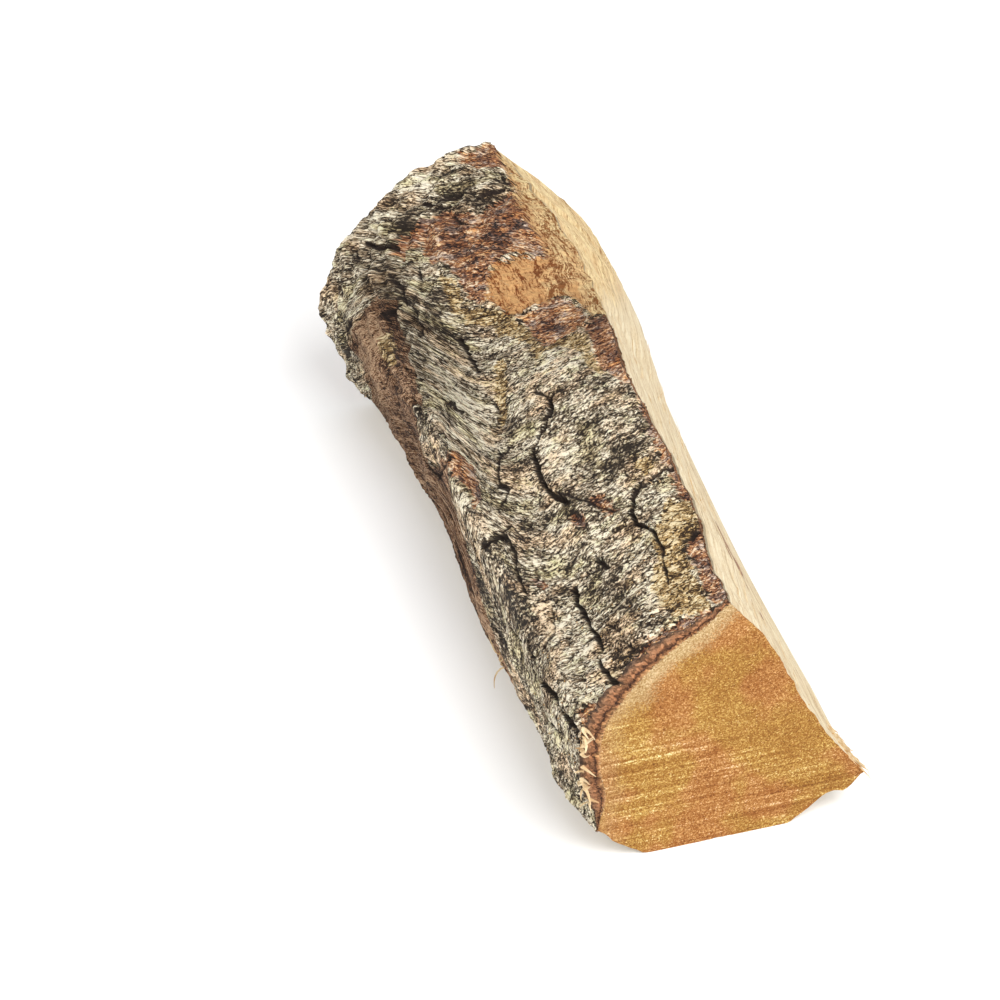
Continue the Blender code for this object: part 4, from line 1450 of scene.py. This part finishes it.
def build_floor():
    """A plain pale floor."""
    reach = FLOOR_REACH
    mesh = bpy.data.meshes.new("floor")
    corners = [(-reach, -reach, 0.0), (reach, -reach, 0.0), (reach, reach, 0.0), (-reach, reach, 0.0)]
    mesh.from_pydata(corners, [], [(0, 1, 2, 3)])
    mesh.materials.append(floor_material())
    floor = bpy.data.objects.new("floor", mesh)
    bpy.context.scene.collection.objects.link(floor)


def add_light(name, power, size, place):
    """A square soft light, turned to the log."""
    light = bpy.data.lights.new(name, "AREA")
    light.energy = power
    light.size = size
    item = bpy.data.objects.new(name, light)
    item.location = place
    aim = Vector(LIGHT_TARGET) - item.location
    item.rotation_euler = aim.to_track_quat("-Z", "Y").to_euler()
    bpy.context.scene.collection.objects.link(item)


def add_surround(strength):
    """An even white surround."""
    world = bpy.data.worlds.new("surround")
    world.use_nodes = True
    world.node_tree.nodes["Background"].inputs["Color"].default_value = PLAIN
    world.node_tree.nodes["Background"].inputs["Strength"].default_value = strength
    bpy.context.scene.world = world
    bpy.context.scene.view_settings.view_transform = "Standard"


def add_camera():
    """The camera, at its distance from the target."""
    azimuth = math.radians(CAMERA_AZIMUTH)
    elevation = math.radians(CAMERA_ELEVATION)
    level = math.cos(elevation)
    back = Vector((math.sin(azimuth) * level, -math.cos(azimuth) * level, math.sin(elevation)))
    camera = bpy.data.objects.new("camera", bpy.data.cameras.new("camera"))
    camera.data.sensor_width = SENSOR_WIDTH
    camera.data.lens = CAMERA_LENS
    camera.location = Vector(CAMERA_TARGET) + CAMERA_DISTANCE * back
    camera.rotation_euler = (-back).to_track_quat("-Z", "Y").to_euler()
    bpy.context.scene.collection.objects.link(camera)
    bpy.context.scene.camera = camera


def build_stage():
    """The floor, two soft lights, a white surround and the camera."""
    setup = bpy.context.scene.split_log_stage
    build_floor()
    add_light("key", setup.key_power, KEY_SIZE, KEY_PLACE)
    add_light("fill", setup.fill_power, FILL_SIZE, FILL_PLACE)
    add_surround(setup.surround_strength)
    add_camera()


def colour_property(name, description, default):
    """A colour that the panel offers."""
    return bpy.props.FloatVectorProperty(name=name, description=description, subtype="COLOR", default=default)


class SplitLogLook(bpy.types.PropertyGroup):
    """Colours of the log, and how many loose pieces lie on it."""

    # The ramp from bark_dark to bark_palest follows the lightness, which the relief height and creases lower
    # in hollows and raise on ridges: painted shade and light besides the bark's own tone.
    bark_light: colour_property("Bark, pale", "Colour of the bark's high spots", (0.59, 0.487, 0.338))
    bark_palest: colour_property("Bark, palest", "Colour of the bark's palest crumbs", (0.94, 0.86, 0.68))
    bark_mid: colour_property("Bark, middle", "Colour of the bark's plates", (0.290, 0.219, 0.140))
    bark_brown: colour_property("Bark, brown", "Colour between the bark's plates", (0.105, 0.074, 0.046))
    bark_dark: colour_property("Bark, dark", "Colour of the bark's low spots", (0.022, 0.015, 0.010))
    inner_bark: colour_property("Inner bark", "Colour where the bark is torn", (0.32, 0.130, 0.060))
    ochre: colour_property("Flaked bark", "Colour where the bark has flaked", (0.37, 0.235, 0.090))
    bare_light: colour_property("Knob wood, pale", "Colour of the bare wood at the crest", (0.81, 0.62, 0.34))
    bare_warm: colour_property("Knob wood, warm", "Colour of the bare wood lower down", (0.56, 0.285, 0.118))
    split_wood: colour_property("Split wood", "Colour of the split faces", (0.76, 0.62, 0.40))
    sawn_wood: colour_property("Sawn wood", "Colour of the sawn ends", (0.405, 0.186, 0.044))
    splinter_count: bpy.props.IntProperty(
        name="Splinters", description="Number of splinters on the split face", default=90, min=1, max=400)
    sawdust_count: bpy.props.IntProperty(
        name="Sawdust", description="Number of crumbs of sawdust", default=500, min=1, max=4000)


class SplitLogStage(bpy.types.PropertyGroup):
    """Floor and light."""

    floor_colour: colour_property("Floor", "Colour of the floor", (0.95, 0.95, 0.95))
    key_power: bpy.props.FloatProperty(
        name="Key light", description="Power of the main light", unit="POWER", default=30.0, min=0.0)
    fill_power: bpy.props.FloatProperty(
        name="Fill light", description="Power of the left light", unit="POWER", default=12.0, min=0.0)
    surround_strength: bpy.props.FloatProperty(
        name="Surround", description="Strength of the light from all round", default=0.68, min=0.0)


def settle(piece):
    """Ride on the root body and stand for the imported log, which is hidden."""
    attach(piece, "root")
    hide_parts("split_log")


class SPLITLOG_OT_stage(bpy.types.Operator):
    """Set the floor, the lights, the surround and the camera"""

    bl_idname = "split_log.stage"
    bl_label = "Floor, Lights and Camera"

    def execute(self, context):
        build_stage()
        return {"FINISHED"}


class SPLITLOG_OT_bark(bpy.types.Operator):
    """Build the bark with its fissures, and the thin bare skin of the knob"""

    bl_idname = "split_log.bark"
    bl_label = "Bark"

    def execute(self, context):
        settle(build_bark())
        return {"FINISHED"}


class SPLITLOG_OT_wood(bpy.types.Operator):
    """Build the wood with its split faces"""

    bl_idname = "split_log.wood"
    bl_label = "Split Wood"

    def execute(self, context):
        settle(build_wood())
        return {"FINISHED"}


class SPLITLOG_OT_sawn_ends(bpy.types.Operator):
    """Build the two sawn ends of the wood"""

    bl_idname = "split_log.sawn_ends"
    bl_label = "Sawn Ends"

    def execute(self, context):
        settle(build_sawn_end("sawn_end_near", -1))
        settle(build_sawn_end("sawn_end_far", 1))
        return {"FINISHED"}


class SPLITLOG_OT_splinters(bpy.types.Operator):
    """Build the splinters of the split face and the loose fibres on the bark"""

    bl_idname = "split_log.splinters"
    bl_label = "Splinters"

    def execute(self, context):
        settle(build_splinters(context.scene.split_log_look.splinter_count))
        return {"FINISHED"}


class SPLITLOG_OT_sawdust(bpy.types.Operator):
    """Scatter the crumbs of sawdust"""

    bl_idname = "split_log.sawdust"
    bl_label = "Sawdust"

    def execute(self, context):
        settle(build_sawdust(context.scene.split_log_look.sawdust_count))
        return {"FINISHED"}


class SPLITLOG_PT_panel(bpy.types.Panel):
    """Lists the log's sizes and colours and what builds its pieces"""

    bl_idname = "SPLITLOG_PT_panel"
    bl_label = "Split Log"
    bl_space_type = "VIEW_3D"
    bl_region_type = "UI"
    bl_category = "Split Log"

    def draw(self, context):
        for settings in (context.scene.split_log_look, context.scene.split_log_stage):
            for name in settings.__annotations__:
                self.layout.prop(settings, name)
        for operator in OPERATORS:
            self.layout.operator(operator.bl_idname)


GROUPS = (SplitLogLook, SplitLogStage)
OPERATORS = (
    SPLITLOG_OT_stage,
    SPLITLOG_OT_bark,
    SPLITLOG_OT_wood,
    SPLITLOG_OT_sawn_ends,
    SPLITLOG_OT_splinters,
    SPLITLOG_OT_sawdust,
)


def register():
    for item in (*GROUPS, *OPERATORS, SPLITLOG_PT_panel):
        bpy.utils.register_class(item)
    bpy.types.Scene.split_log_look = bpy.props.PointerProperty(type=SplitLogLook)
    bpy.types.Scene.split_log_stage = bpy.props.PointerProperty(type=SplitLogStage)


def unregister():
    del bpy.types.Scene.split_log_look
    del bpy.types.Scene.split_log_stage
    for item in reversed((*GROUPS, *OPERATORS, SPLITLOG_PT_panel)):
        bpy.utils.unregister_class(item)


def main():
    register()
    bpy.ops.split_log.stage()
    bpy.ops.split_log.bark()
    bpy.ops.split_log.wood()
    bpy.ops.split_log.sawn_ends()
    bpy.ops.split_log.splinters()
    bpy.ops.split_log.sawdust()


if __name__ == "__main__":
    main()
